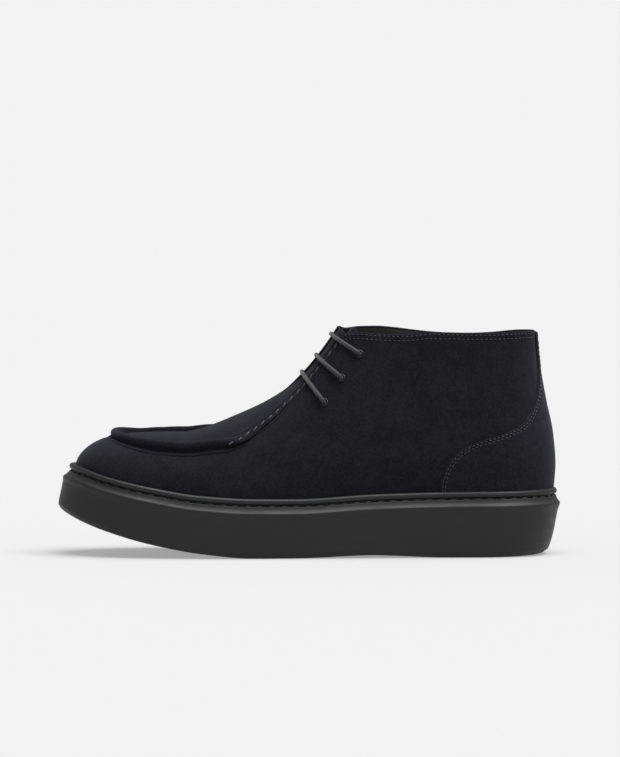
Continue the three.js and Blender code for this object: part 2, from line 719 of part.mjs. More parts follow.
// The turn through an eyelet, from a point of the bar outside to a point of a strand inside.
function turnThrough({ point, normal }, outside, inside) {
  const flat = (target) => target.clone().sub(point).projectOnPlane(normal).normalize();
  const corner = (direction, level, facing) => [0, 0.5, 1].map((share) => {
    const turn = (share * Math.PI) / 2;
    return point.clone()
      .addScaledVector(normal, level + facing * LACE_BEND * Math.cos(turn))
      .addScaledVector(direction, LACE_BEND * (1 - Math.sin(turn)));
  });
  const rim = BAR_OFFSET - LACE_BEND;
  return [
    ...corner(flat(outside), rim, 1),
    ...corner(flat(inside), STRAND_OFFSET + LACE_BEND, -1).reverse(),
  ];
}

function laceRoute() {
  const [low, middle, high] = EYELETS;
  const strand = (side, from, to, aside = 0) => [0.35, 0.65].map((t) => spotPoint(
    mix(from.station, to.station, t) + aside, mix(from.height, to.height, t), side, STRAND_OFFSET));
  const crestOf = (row) => formPoint(angleAt(row.crossing), 1, CREST_OFFSET);
  const bar = (row, from, to) => [...halfBar(from, row), crestOf(row), ...halfBar(to, row).reverse()];
  const tailIn = [high, middle].map((row) =>
    spotPoint(row.station + TAIL_ASIDE, row.height, 'inner', STRAND_OFFSET));
  const tailOut = [4, 9].map((along) =>
    spotPoint(high.station + along, high.height + along / 2, 'outer', STRAND_OFFSET));
  const lowBar = bar(low, 'inner', 'outer');
  const middleBar = bar(middle, 'outer', 'inner');
  const highBar = bar(high, 'inner', 'outer');
  const outerStrand = strand('outer', low, middle);
  const innerStrand = strand('inner', middle, high);
  const inTurn = (side, row, outside, inside) =>
    turnThrough(eyeletAt(side, row), outside, inside);
  return [
    ...tailIn,
    ...inTurn('inner', low, lowBar[0], tailIn[1]).reverse(),
    ...lowBar,
    ...inTurn('outer', low, lowBar[lowBar.length - 1], outerStrand[0]),
    ...outerStrand,
    ...inTurn('outer', middle, middleBar[0], outerStrand[1]).reverse(),
    ...middleBar,
    ...inTurn('inner', middle, middleBar[middleBar.length - 1], innerStrand[0]),
    ...innerStrand,
    ...inTurn('inner', high, highBar[0], innerStrand[1]).reverse(),
    ...highBar,
    ...inTurn('outer', high, highBar[highBar.length - 1], tailOut[0]),
    ...tailOut,
  ];
}

// A round rod along a route, its rings turning no more than the route does.
function roundRod(route, radius, sides) {
  const last = route.length - 1;
  let side = new THREE.Vector3(0, 0, 1);
  const rings = route.map((point, i) => {
    const into = point.clone().sub(route[Math.max(0, i - 1)]).normalize();
    const out = route[Math.min(last, i + 1)].clone().sub(point).normalize();
    const along = into.add(out).normalize();
    side = side.clone().projectOnPlane(along).normalize();
    const up = along.clone().cross(side);
    return Array.from({ length: sides }, (_, k) => {
      const turn = (2 * Math.PI * k) / sides;
      return point.clone()
        .addScaledVector(side, radius * Math.cos(turn))
        .addScaledVector(up, radius * Math.sin(turn));
    });
  });
  return rod(rings);
}

const laceGeometry = () => roundRod(laceRoute(), LACE_RADIUS, LACE_SIDES);

// ---------------------------------------------------------------------------------------------
const colours = {
  suede: 0x1c1d25,
  rubber: 0x232623,
  lining: 0x2a2c2c,
  lace: 0x2c3036,
  metal: 0x3a3c40,
};
const finish = (color, roughness, metalness = 0) =>
  new THREE.MeshStandardMaterial({ color, roughness, metalness });

const boot = new THREE.Group();
boot.name = 'chukka_boot';

function addPiece(name, geometry, material) {
  const mesh = new THREE.Mesh(geometry, material);
  mesh.name = name;
  boot.add(mesh);
}

addPiece('outsole', outsoleGeometry(), finish(colours.rubber, 0.6));
addPiece('welt', weltGeometry(), finish(colours.rubber, 0.4));
addPiece('insole', insoleGeometry(), finish(colours.lining, 0.8));
addPiece('upper', upperGeometry(), finish(colours.suede, 0.95));
addPiece('tongue', tongueGeometry(), finish(colours.suede, 0.95));
addPiece('heel_counter', counterGeometry(), finish(colours.suede, 0.95));
addPiece('lace', laceGeometry(), finish(colours.lace, 0.5));
eyeletSpots.forEach((spot) => {
  addPiece(spot.name, eyeletGeometry(spot), finish(colours.metal, 0.4, 0.8));
});

export default boot;
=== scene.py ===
import math

import bmesh
import bpy
import numpy as np
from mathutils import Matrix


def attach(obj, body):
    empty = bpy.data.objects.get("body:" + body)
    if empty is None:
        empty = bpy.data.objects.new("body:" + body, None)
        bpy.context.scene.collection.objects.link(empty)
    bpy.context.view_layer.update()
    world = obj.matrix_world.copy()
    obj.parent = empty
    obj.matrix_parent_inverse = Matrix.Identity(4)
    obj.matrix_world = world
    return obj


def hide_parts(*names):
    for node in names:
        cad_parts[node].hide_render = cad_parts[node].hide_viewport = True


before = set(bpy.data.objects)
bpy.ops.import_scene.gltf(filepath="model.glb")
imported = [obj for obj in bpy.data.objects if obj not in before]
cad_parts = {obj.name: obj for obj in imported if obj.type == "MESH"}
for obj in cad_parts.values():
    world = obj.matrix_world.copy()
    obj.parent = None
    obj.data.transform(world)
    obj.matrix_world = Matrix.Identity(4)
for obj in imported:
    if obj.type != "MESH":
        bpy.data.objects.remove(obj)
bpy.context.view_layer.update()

# ---------------------------------------------------------------------------------------------
# The shot: a low long-lens view square on to the outer side of a left boot, on a pale floor
# under a wide soft light. Lengths in this file are millimetres until a mesh is made.
# ---------------------------------------------------------------------------------------------
MM = 0.001

VIEW_ANGLE = math.radians(3.2)
VIEW_DISTANCE = 8
VIEW_HEIGHT = 0.1068
LENS = 624.5
SKY = 0.42

lens = bpy.data.cameras.new("camera")
lens.lens = LENS
lens.sensor_width = 36
camera = bpy.data.objects.new("camera", lens)
camera.location = (
    0,
    -VIEW_DISTANCE * math.cos(VIEW_ANGLE),
    VIEW_HEIGHT + VIEW_DISTANCE * math.sin(VIEW_ANGLE),
)
camera.rotation_euler = (math.pi / 2 - VIEW_ANGLE, 0, 0)
bpy.context.scene.collection.objects.link(camera)
bpy.context.scene.camera = camera
bpy.context.scene.view_settings.view_transform = "Standard"

world = bpy.data.worlds.new("studio")
world.use_nodes = True
world.node_tree.nodes["Background"].inputs["Color"].default_value = (1, 1, 1, 1)
world.node_tree.nodes["Background"].inputs["Strength"].default_value = SKY
bpy.context.scene.world = world


def add_sun(name, strength, spread, tilt, turn):
    """A far soft light: strength, width in degrees, degrees from overhead, and heading."""
    light = bpy.data.lights.new(name, "SUN")
    light.energy = strength
    light.angle = math.radians(spread)
    lamp = bpy.data.objects.new(name, light)
    lamp.rotation_euler = (math.radians(tilt), 0, math.radians(turn))
    bpy.context.scene.collection.objects.link(lamp)


add_sun("overhead", strength=4.6, spread=60, tilt=16, turn=62)


def node_material(name):
    """A new material with its node tree and its shader."""
    material = bpy.data.materials.new(name)
    material.use_nodes = True
    tree = material.node_tree
    return material, tree, tree.nodes["Principled BSDF"]


FLOOR_PAINT = 0.3
FLOOR_GLOW = 0.34  # fills the shadows as a lit white sweep does
FLOOR_HALF = 40  # metres
floor_material, tree, shader = node_material("floor_paint")
shader.inputs["Base Color"].default_value = (FLOOR_PAINT, FLOOR_PAINT, FLOOR_PAINT, 1)
shader.inputs["Emission Color"].default_value = (1, 1, 1, 1)
shader.inputs["Emission Strength"].default_value = FLOOR_GLOW
shader.inputs["Roughness"].default_value = 0.9
shader.inputs["Specular IOR Level"].default_value = 0.1
floor_mesh = bpy.data.meshes.new("floor")
floor_mesh.from_pydata(
    [(-FLOOR_HALF, -FLOOR_HALF, 0), (FLOOR_HALF, -FLOOR_HALF, 0),
     (FLOOR_HALF, FLOOR_HALF, 0), (-FLOOR_HALF, FLOOR_HALF, 0)],
    [], [(0, 1, 2, 3)],
)
floor_mesh.materials.append(floor_material)
floor = bpy.data.objects.new("floor", floor_mesh)
bpy.context.scene.collection.objects.link(floor)

# ---------------------------------------------------------------------------------------------
# Outsole: a thick cup sole moulded in one piece of dark grey-green rubber, with a rounded lip, a
# shelf for the welt and a low tread underneath. The upper is bonded into its seat and stitched.
# ---------------------------------------------------------------------------------------------
MIDDLE = 152.5  # station of the origin; stations are counted back from the front of the sole
TOE, HEEL = 9.3, 299.4
TOE_ROUND, HEEL_ROUND = 52, 40
MARGIN = 5.5
TOE_MARGIN = 2.6
TOE_FLARE, HEEL_TAPER, SIDE_TAPER = 2.2, 5.6, 2
SEAT_DEPTH = 3
GAP = 0.3


def table(columns, *rows):
    """Short rows of figures under named columns, kept as one array for each column."""
    return dict(zip(columns.split(), np.array(rows, float).T))


def mix(a, b, t):
    return a + (b - a) * t


def eased(t):
    """Smooth step: 3 t^2 - 2 t^3 between 0 and 1."""
    t = np.clip(t, 0, 1)
    return t * t * (3 - 2 * t)


def rounded(t):
    """Quarter circle: 0 at t = 0, 1 from t = 1 on."""
    return np.sqrt(1 - (1 - np.clip(t, 0, 1)) ** 2)


def curve(rows, key, column):
    """Cubic through one column of a table that never overshoots its rows: each tangent is the
    harmonic mean of the slopes beside it, or 0 where they turn."""
    keys, values = rows[key], rows[column]
    slopes = np.diff(values) / np.diff(keys)
    before, after = slopes[:-1], slopes[1:]
    same = before * after > 0
    middle = np.where(same, 2 * before * after / np.where(same, before + after, 1), 0)
    tangents = np.concatenate([slopes[:1], middle, slopes[-1:]])

    def at(where):
        where = np.clip(where, keys[0], keys[-1])
        i = np.clip(np.searchsorted(keys, where) - 1, 0, len(slopes) - 1)
        step = keys[i + 1] - keys[i]
        t = (where - keys[i]) / step
        rise = (values[i + 1] - values[i]) * t * t * (3 - 2 * t)
        lean = (tangents[i] * (1 - t) - tangents[i + 1] * t) * t * (1 - t) * step
        return values[i] + rise + lean

    return at


OUTLINE = table(
    "station centre outer inner",
    (9, 4, 44, 41),
    (30, 3, 45.5, 43),
    (60, 1.5, 46, 44.5),
    (95, 0, 47.6, 48.2),
    (125, 0, 47.4, 45.5),
    (160, 0, 43.7, 38.5),
    (200, 0, 39, 34),
    (240, 0, 36.8, 34.2),
    (275, 0, 35.8, 34.5),
    (300, 0, 35.5, 34.5),
)
SOLE = table(
    "station tread lip",
    (0, 27.4, 47.7),
    (12, 21.8, 45.1),
    (28, 16, 40.3),
    (55, 8.5, 34.3),
    (85, 2.9, 29.4),
    (118, 0, 27.4),
    (145, 0, 27.3),
    (190, 1.5, 29.8),
    (236, 0, 31),
    (305, 0, 31.6),
)
centre = curve(OUTLINE, "station", "centre")
outer_breadth = curve(OUTLINE, "station", "outer")
inner_breadth = curve(OUTLINE, "station", "inner")
tread = curve(SOLE, "station", "tread")
lip = curve(SOLE, "station", "lip")


def feather_line(angle):
    """Station and breadth of the line where the upper meets the sole. The angle is 0 at the
    toe and pi at the heel, and the outer side comes first."""
    station = mix(TOE, HEEL, (1 - np.cos(angle)) / 2)
    ends = rounded((station - TOE) / TOE_ROUND) * rounded((HEEL - station) / HEEL_ROUND)
    outer = np.sin(angle) >= 0
    half = np.where(outer, outer_breadth(station), inner_breadth(station)) * ends
    return station, centre(station) + np.where(outer, -1, 1) * half


def edge_points(angle, outset, height):
    """The feather line moved outwards in plan by outset(facing), at height(station). Facing is
    -1 where the edge looks to the toe and +1 where it looks to the heel."""
    step = 1e-3
    ahead, behind = feather_line(angle + step), feather_line(angle - step)
    along = np.stack([ahead[0] - behind[0], ahead[1] - behind[1]])
    along = along / np.linalg.norm(along, axis=0)
    station, y = feather_line(angle)
    reach = outset(along[1])
    station = station + along[1] * reach
    y = y - along[0] * reach
    return np.stack([station - MIDDLE, y, height(station)], -1)


def sole_ring(angle, share, lift, outset, draft=0, reach=0, heel=0):
    """One ring round the sole. share: 0 at the tread, 1 at the lip; lift: added height; outset:
    past the feather line; draft: share of the taper down; reach: share of the toe's margin;
    heel: how far it is rounded in behind the heel."""

    def out(facing):
        end = np.where(facing < 0, -TOE_FLARE, HEEL_TAPER)
        taper = mix(SIDE_TAPER, end, facing**2)
        toe = np.where(facing < 0, TOE_MARGIN * facing**2, 0)
        return outset - draft * taper + reach * toe - heel * np.maximum(facing, 0)

    def height(station):
        return mix(tread(station), lip(station), share) + lift

    return edge_points(angle, out, height)


def refined(rows, count):
    """Resamples every column of a profile table along a smooth curve through its rows."""
    rows = dict(rows, row=np.arange(len(next(iter(rows.values())))))
    at = np.linspace(0, rows["row"][-1], count)
    return {name: curve(rows, "row", name)(at) for name in rows if name != "row"}


def grid_quads(rows, columns, around=False, first=0):
    """Corner numbers of a grid's quads. With around, the last column joins the first."""
    corner = np.arange(rows * columns).reshape(rows, columns) + first
    if around:
        corner = np.concatenate([corner, corner[:, :1]], 1)
    quads = [corner[:-1, :-1], corner[:-1, 1:], corner[1:, 1:], corner[1:, :-1]]
    return np.stack(quads, -1).reshape(-1, 4)


def add_piece(name, points, quads, materials, which=None, merge=True, outwards=False):
    """A smooth piece from points in millimetres and quads, riding on the boot. which gives each
    quad's material number; merge joins points that coincide; outwards turns all faces out."""
    points = np.ascontiguousarray(points.reshape(-1, 3) * MM, dtype=np.float32)
    mesh = bpy.data.meshes.new(name)
    mesh.vertices.add(len(points))
    mesh.vertices.foreach_set("co", points.ravel())
    mesh.loops.add(quads.size)
    mesh.loops.foreach_set("vertex_index", quads.astype(np.int32).ravel())
    mesh.polygons.add(len(quads))
    mesh.polygons.foreach_set("loop_start", np.arange(0, quads.size, 4, dtype=np.int32))
    for material in materials:
        mesh.materials.append(material)
    if which is not None:
        mesh.polygons.foreach_set("material_index", which.astype(np.int32))
    mesh.update(calc_edges=True)
    mesh.validate()
    if merge or outwards:
        worked = bmesh.new()
        worked.from_mesh(mesh)
        if merge:
            bmesh.ops.remove_doubles(worked, verts=worked.verts, dist=2e-6)
        if outwards:
            bmesh.ops.recalc_face_normals(worked, faces=worked.faces)
        worked.to_mesh(mesh)
        worked.free()
    mesh.shade_smooth()
    piece = bpy.data.objects.new(name, mesh)
    bpy.context.scene.collection.objects.link(piece)
    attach(piece, "root")
    return piece


def noise(tree, scale, detail=4, stretch=(1, 1, 1)):
    """Noise on the piece's own coordinates in metres. Gives its 0 to 1 output."""
    place = tree.nodes.new("ShaderNodeTexCoord")
    mapping = tree.nodes.new("ShaderNodeMapping")
    mapping.inputs["Scale"].default_value = stretch
    tree.links.new(place.outputs["Object"], mapping.inputs["Vector"])
    texture = tree.nodes.new("ShaderNodeTexNoise")
    texture.inputs["Scale"].default_value = scale
    texture.inputs["Detail"].default_value = detail
    tree.links.new(mapping.outputs["Vector"], texture.inputs["Vector"])
    return texture.outputs["Fac"]


def blended(tree, factor, low, high, span=(0.3, 0.7)):
    """Colour that goes from low to high as the factor crosses the span."""
    ramp = tree.nodes.new("ShaderNodeValToRGB")
    ramp.color_ramp.elements[0].position = span[0]
    ramp.color_ramp.elements[1].position = span[1]
    ramp.color_ramp.elements[0].color = (*low, 1)
    ramp.color_ramp.elements[1].color = (*high, 1)
    tree.links.new(factor, ramp.inputs["Fac"])
    return ramp.outputs["Color"]


def multiplied(tree, colour, other):
    """Product of two colours."""
    product = tree.nodes.new("ShaderNodeMix")
    product.data_type = "RGBA"
    product.blend_type = "MULTIPLY"
    product.inputs["Factor"].default_value = 1
    tree.links.new(colour, product.inputs["A"])
    tree.links.new(other, product.inputs["B"])
    return product.outputs["Result"]


def bumped(tree, shader, *heights):
    """Chains bumps onto a shader; each is a height, its strength and its depth in metres."""
    normal = None
    for height, strength, depth in heights:
        bump = tree.nodes.new("ShaderNodeBump")
        bump.inputs["Strength"].default_value = strength
        bump.inputs["Distance"].default_value = depth
        tree.links.new(height, bump.inputs["Height"])
        if normal is not None:
            tree.links.new(normal, bump.inputs["Normal"])
        normal = bump.outputs["Normal"]
    tree.links.new(normal, shader.inputs["Normal"])


def grey(value):
    return (value, value, value)


RUBBER_COLOUR = (0.0083, 0.009, 0.0084)


def rubber(name, colour, roughness):
    """Matt moulded rubber: a fine dull grain, cloudy colour and a faint bloom of handling."""
    material, tree, shader = node_material(name)
    clouds = noise(tree, 26, 5)
    grain = noise(tree, 900, 3)
    dust = noise(tree, 160, 6, (0.4, 0.4, 1.6))
    dark = tuple(0.88 * c for c in colour)
    light = tuple(1.12 * c for c in colour)
    base = blended(tree, clouds, dark, light)
    base = multiplied(tree, base, blended(tree, dust, grey(0.94), grey(1.0), (0.35, 0.6)))
    tree.links.new(base, shader.inputs["Base Color"])
    rough = blended(tree, dust, grey(roughness - 0.05), grey(roughness + 0.07))
    tree.links.new(rough, shader.inputs["Roughness"])
    shader.inputs["Specular IOR Level"].default_value = 0.35
    bumped(tree, shader, (grain, 0.12, 0.0002), (clouds, 0.05, 0.0006))
    return material


SOLE_SECTION = table(
    "share lift outset draft reach heel",
    (0, 0.0, -3.6, 1, 1, 9),
    (0, 0.25, -2.2, 1, 1, 6.6),
    (0, 1.1, -0.9, 1, 1, 4),
    (0, 3.0, -0.05, 1, 1, 1.9),
    (0.25, 1.4, -0.15, 0.8, 1, 0.5),
    (0.5, 0, -0.4, 0.55, 1, 0),
    (0.8, -1.5, -0.6, 0.25, 0.97, 0),
    (1, -3.4, -0.5, 0.08, 0.9, 0),
    (1, -2.0, -0.2, 0.03, 0.82, 0),
    (1, -1.0, -0.05, 0, 0.75, 0),
    (1, -0.3, -0.03, 0, 0.7, 0),
    (1, 0.25, -0.2, 0, 0.65, 0),
    (1, 0.8, -0.65, 0, 0.6, 0),
    (1, 1.7, -1.4, 0, 0.5, 0),
    (1, 3.0, -2.05, 0, 0.28, 0),
    (1, 4.1, -2.5, 0, 0.15, 0),
    (1, 4.3, -3.0, 0, 0.05, 0),
    (1, 4.1, -3.5, 0, 0, 0),
    (1, 4.4, -4.0, 0, 0, 0),
    (1, 5.3, -4.2, 0, 0, 0),
    (1, 5.3, -4.6, 0, 0, 0),
    (1, 5.3, GAP - MARGIN, 0, 0, 0),
)
SOLE_AROUND = 640
SOLE_ROWS = 81
TREAD_COLUMNS = 84
GROOVE_DEPTH = 1.6
GROOVE_PITCH = 9.5

sole_angles = np.linspace(0, 2 * np.pi, SOLE_AROUND, endpoint=False)


def edge_rings(angles, section, count):
    """The sole's edge: rows of a refined section table carried round the outline."""
    rows = refined(section, count)
    return np.stack([
        sole_ring(angles, share, lift, MARGIN + outset, draft, reach, heel)
        for share, lift, outset, draft, reach, heel in zip(
            *(rows[name] for name in ("share", "lift", "outset", "draft", "reach", "heel")))
    ])


def across_ring(ring, columns):
    """Fills a ring with rungs from its outer side straight across to its inner side."""
    half = len(ring) // 2
    near = ring[: half + 1]
    far = ring[(len(ring) - np.arange(half + 1)) % len(ring)]
    share = np.linspace(0, 1, columns)[None, :, None]
    return mix(near[:, None], far[:, None], share)


def tread_grooves(points):
    """Depth of the tread: waves across the sole under the ball and the heel, each a smooth
    trough where the sine of the warped station falls below its threshold."""
    station = points[..., 0] + MIDDLE
    y = points[..., 1]
    warp = station + 2.2 * np.cos(y / 11)
    wave = np.cos(2 * np.pi * warp / GROOVE_PITCH)
    trough = eased((wave - 0.35) / 0.35)
    ball = eased((station - 34) / 6) * (1 - eased((station - 146) / 6))
    heel = eased((station - 226) / 6) * (1 - eased((station - 282) / 6))
    ends = feather_margin(station, y)
    return GROOVE_DEPTH * trough * (ball + heel) * eased((ends - 8) / 3)


def feather_margin(station, y):
    """Distance across from the tread's nearest side."""
    ends = rounded((station - TOE) / TOE_ROUND) * rounded((HEEL - station) / HEEL_ROUND)
    outer = outer_breadth(station) * ends + y - centre(station)
    inner = inner_breadth(station) * ends - y + centre(station)
    return np.minimum(outer, inner)


rings = edge_rings(sole_angles, SOLE_SECTION, SOLE_ROWS)
seat = sole_ring(sole_angles, 1, -SEAT_DEPTH, GAP)
bottom = across_ring(rings[0], TREAD_COLUMNS)
bottom[..., 2] += tread_grooves(bottom)
seat_top = across_ring(seat, 24)
side_rings = np.concatenate([rings, seat[None]])
rungs = SOLE_AROUND // 2 + 1
quads = np.concatenate([
    grid_quads(SOLE_ROWS + 1, SOLE_AROUND, True),
    grid_quads(rungs, TREAD_COLUMNS, False, side_rings.size // 3),
    grid_quads(rungs, 24, False, (side_rings.size + bottom.size) // 3)[:, ::-1],
])
points = np.concatenate([side_rings.reshape(-1, 3), bottom.reshape(-1, 3), seat_top.reshape(-1, 3)])
sole_rubber = rubber("sole_rubber", RUBBER_COLOUR, 0.5)
outsole = add_piece("outsole_moulding", points, quads, [sole_rubber], outwards=True)
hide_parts("outsole")

# ---------------------------------------------------------------------------------------------
# Welt: a rounded rubber bead glued on the sole's rim against the upper, and the lockstitch that
# ties both down, lying in the groove beneath it.
# ---------------------------------------------------------------------------------------------
WELT_SECTION = table(
    "lift outset",
    (5.6, GAP - MARGIN),
    (5.4, -4.0),
    (5.45, -3.0),
    (5.95, -2.3),
    (6.8, -2.0),
    (7.8, -2.15),
    (8.7, -2.9),
    (9.0, -3.8),
    (8.9, -4.6),
    (8.4, GAP - MARGIN),
)
STITCH_PITCH = 7.4
STITCH_LENGTH = 4.6
STITCH_THICKNESS = 0.8

rows = refined(WELT_SECTION, 37)
rings = np.stack([
    sole_ring(sole_angles, 1, lift, MARGIN + outset)
    for lift, outset in zip(rows["lift"], rows["outset"])
])
rings = np.concatenate([rings, rings[:1]])
welt_rubber = rubber("welt_rubber", (0.0095, 0.01, 0.0104), 0.5)
welt = add_piece(
    "welt_bead", rings, grid_quads(len(rings), SOLE_AROUND, True), [welt_rubber], outwards=True)
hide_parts("welt")


def unit(vectors):
    return vectors / np.maximum(np.linalg.norm(vectors, axis=-1, keepdims=True), 1e-9)


def arc_lengths(line):
    """Distance along a line from its start to each of its points."""
    steps = np.linalg.norm(np.diff(line, axis=0), axis=1)
    return np.concatenate([[0], np.cumsum(steps)])


def paced(path, outwards, pitch, first=0.5):
    """Places at an even pitch along a path, with the direction along it and the direction out
    of the surface there. All three are read off the path by its arc length."""
    lengths = arc_lengths(path)
    marks = np.arange(first * pitch, lengths[-1], pitch)
    tangents = np.gradient(path, axis=0)

    def read(values):
        return np.stack([np.interp(marks, lengths, values[:, k]) for k in range(3)], -1)

    return read(path), unit(read(tangents)), unit(read(outwards))


def stitches(name, places, along, out, length, thickness, thread, turn=0.0, sink=0.5):
    """Short threads: each a six-sided capsule whose radius is r (1 - t^4)^(1/2) along it, with
    its ends dipping into the surface by sink times the thickness. turn swings it sideways."""
    rings, sides = 7, 6
    side = unit(np.cross(out, along))
    along = along * math.cos(turn) + side * math.sin(turn)
    side = unit(np.cross(out, along))
    t = np.linspace(-1, 1, rings)
    around = np.linspace(0, 2 * np.pi, sides, endpoint=False)
    radius = thickness / 2 * np.sqrt(np.maximum(0, 1 - t**4))
    level = -sink * thickness * t**2
    spine = (places[:, None] + along[:, None] * (t * length / 2)[:, None]
             + out[:, None] * level[:, None])
    ring = (side[:, None, None] * (radius[:, None] * np.cos(around))[..., None]
            + out[:, None, None] * (radius[:, None] * np.sin(around))[..., None])
    points = spine[:, :, None] + ring
    one = grid_quads(rings, sides, True)
    count = len(places)
    quads = (one[None] + (np.arange(count) * rings * sides)[:, None, None]).reshape(-1, 4)
    return add_piece(name, points, quads, [thread], outwards=True)


def waxed_thread(name, colour):
    """Twisted waxed thread: fine slanted ply and a soft shine."""
    material, tree, shader = node_material(name)
    ply = noise(tree, 1500, 2, (1, 1, 0.4))
    base = blended(tree, ply, tuple(0.7 * c for c in colour), tuple(1.2 * c for c in colour))
    tree.links.new(base, shader.inputs["Base Color"])
    shader.inputs["Roughness"].default_value = 0.55
    bumped(tree, shader, (ply, 0.4, 0.0002))
    return material


sole_thread = waxed_thread("sole_thread", (0.024, 0.025, 0.026))
groove = sole_ring(np.append(sole_angles, 2 * np.pi), 1, 4.6, MARGIN - 3.05)
upwards = sole_ring(np.append(sole_angles, 2 * np.pi), 1, 5.2, MARGIN - 2.05) - groove
places, along, out = paced(groove, upwards, STITCH_PITCH)
piece = stitches("sole_stitching", places, along, out, STITCH_LENGTH, STITCH_THICKNESS, sole_thread)

# ---------------------------------------------------------------------------------------------
# Insole: a leather-covered board glued in the sole's seat, slightly dished under the foot. Its
# rim follows the lining all round.
# ---------------------------------------------------------------------------------------------
WALL = 2.2
INSOLE_THICKNESS = 3.2
INSOLE_COLUMNS = 40


def smooth_leather(name, colour, roughness):
    """Lining leather: small pebbled grain, cloudy dye and a soft shine."""
    material, tree, shader = node_material(name)
    pebble = noise(tree, 420, 5)
    clouds = noise(tree, 45, 4)
    base = blended(tree, clouds, tuple(0.8 * c for c in colour), tuple(1.15 * c for c in colour))
    base = multiplied(tree, base, blended(tree, pebble, grey(0.8), grey(1.0), (0.35, 0.55)))
    tree.links.new(base, shader.inputs["Base Color"])
    tree.links.new(
        blended(tree, pebble, grey(roughness + 0.1), grey(roughness - 0.05)),
        shader.inputs["Roughness"])
    bumped(tree, shader, (pebble, 0.3, 0.0003))
    return material


lining_leather = smooth_leather("lining_leather", (0.045, 0.047, 0.042), 0.6)
insole_rings = np.stack([
    sole_ring(sole_angles, 1, GAP - SEAT_DEPTH, -WALL - GAP),
    sole_ring(sole_angles, 1, GAP - SEAT_DEPTH + INSOLE_THICKNESS - 0.5, -WALL - GAP),
    sole_ring(sole_angles, 1, GAP - SEAT_DEPTH + INSOLE_THICKNESS, -WALL - GAP - 0.6),
])
under = across_ring(insole_rings[0], 12)
top = across_ring(insole_rings[2], INSOLE_COLUMNS)
dish = np.minimum(feather_margin(top[..., 0] + MIDDLE, top[..., 1]) / 24, 1)
top[..., 2] -= 0.6 * eased(dish)
points = np.concatenate([insole_rings.reshape(-1, 3), under.reshape(-1, 3), top.reshape(-1, 3)])
quads = np.concatenate([
    grid_quads(3, SOLE_AROUND, True),
    grid_quads(rungs, 12, False, insole_rings.size // 3),
    grid_quads(rungs, INSOLE_COLUMNS, False, (insole_rings.size + under.size) // 3)[:, ::-1],
])
insole = add_piece("insole_board", points, quads, [lining_leather], outwards=True)
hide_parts("insole")

# ---------------------------------------------------------------------------------------------
# Upper: suede lined with leather, lasted over the foot's form and cemented into the sole. Its
# sections are halves of a flattened oval that the shaft leans and narrows above the heel; it is
# slit down the instep and open at the collar.
# ---------------------------------------------------------------------------------------------
FEATHER_RISE = 5.9
FOREFOOT_TILT = 0.0615  # the top of the forefoot is higher on the inner side
TOE_CROWN = 24
THROAT = 136
COLLAR_FRONT = 175.4
THROAT_GAP = 7
EDGE_ROUND = 0.9
SHAFT_START, SHAFT_FULL = 140, 215
TOP_LINE = table(
    "station height fullness",
    (8, 70.4, 2.4),
    (30, 71, 2.45),
    (45, 73, 2.5),
    (60, 73.6, 2.5),
    (76, 73.8, 2.45),
    (88, 76.4, 2.4),
    (96, 79.4, 2.3),
    (104, 82.8, 2.2),
    (128, 94.3, 2.05),
    (146.2, 107, 2),
    (159.9, 120.9, 2),
    (173.6, 137.2, 2),
    (205, 178.2, 2),
    (300, 314, 2),
)
SHAFT = table(
    "height back girth",
    (40, 299.6, 1),
    (54.9, 300.7, 1.03),
    (73.8, 299.2, 1),
    (93.7, 295.1, 0.93),
    (113.6, 291.7, 0.86),
    (137.4, 289.8, 0.8),
    (163.3, 289.4, 0.77),
)
COLLAR = table(
    "station outer inner",
    (170, 139.8, 139.8),
    (174, 139.2, 139.4),
    (179, 135.6, 137.8),
    (189, 136.3, 138.4),
    (201.5, 135.5, 138.3),
    (213.5, 135.1, 137.3),
    (224, 135.4, 135.9),
    (235, 136.5, 134.6),
    (247, 136.3, 133.8),
    (260, 136, 133.6),
    (273, 136, 134.2),
    (288, 136.3, 135.8),
    (300, 136.5, 136.5),
)
top_line = curve(TOP_LINE, "station", "height")
fullness = curve(TOP_LINE, "station", "fullness")
shaft_back = curve(SHAFT, "height", "back")
shaft_girth = curve(SHAFT, "height", "girth")
collar_outer = curve(COLLAR, "station", "outer")
collar_inner = curve(COLLAR, "station", "inner")


def station_at(angle):
    return mix(TOE, HEEL, (1 - np.cos(angle)) / 2)


def angle_at(station, outer=True):
    angle = np.arccos(np.clip(1 - 2 * (station - TOE) / (HEEL - TOE), -1, 1))
    return angle if outer else 2 * np.pi - angle


def form(angle, climb):
    """A point of the form the upper is lasted on: climb 0 at the feather line, 1 on the top
    line. Height goes as the sine of the climb, breadth as a power of its cosine."""
    angle, climb = np.broadcast_arrays(angle, climb)
    station, edge = feather_line(angle)
    base = lip(station) + FEATHER_RISE
    height = (top_line(station) - base) * rounded((station - TOE) / TOE_CROWN)
    turn = climb * np.pi / 2
    z = base + height * np.sin(turn)
    reach = np.maximum(0, np.cos(turn)) ** (2 / fullness(station))
    shaft = eased((station - SHAFT_START) / (SHAFT_FULL - SHAFT_START))
    aside = (edge - centre(station)) * reach * mix(1, shaft_girth(z), shaft)
    tilt = FOREFOOT_TILT * eased((station - 12) / 30) * (1 - eased((station - 130) / 45))
    x = station + (shaft_back(z) - HEEL) * shaft - MIDDLE
    return np.stack([x, centre(station) + aside, z + tilt * aside * np.sin(turn)], -1)


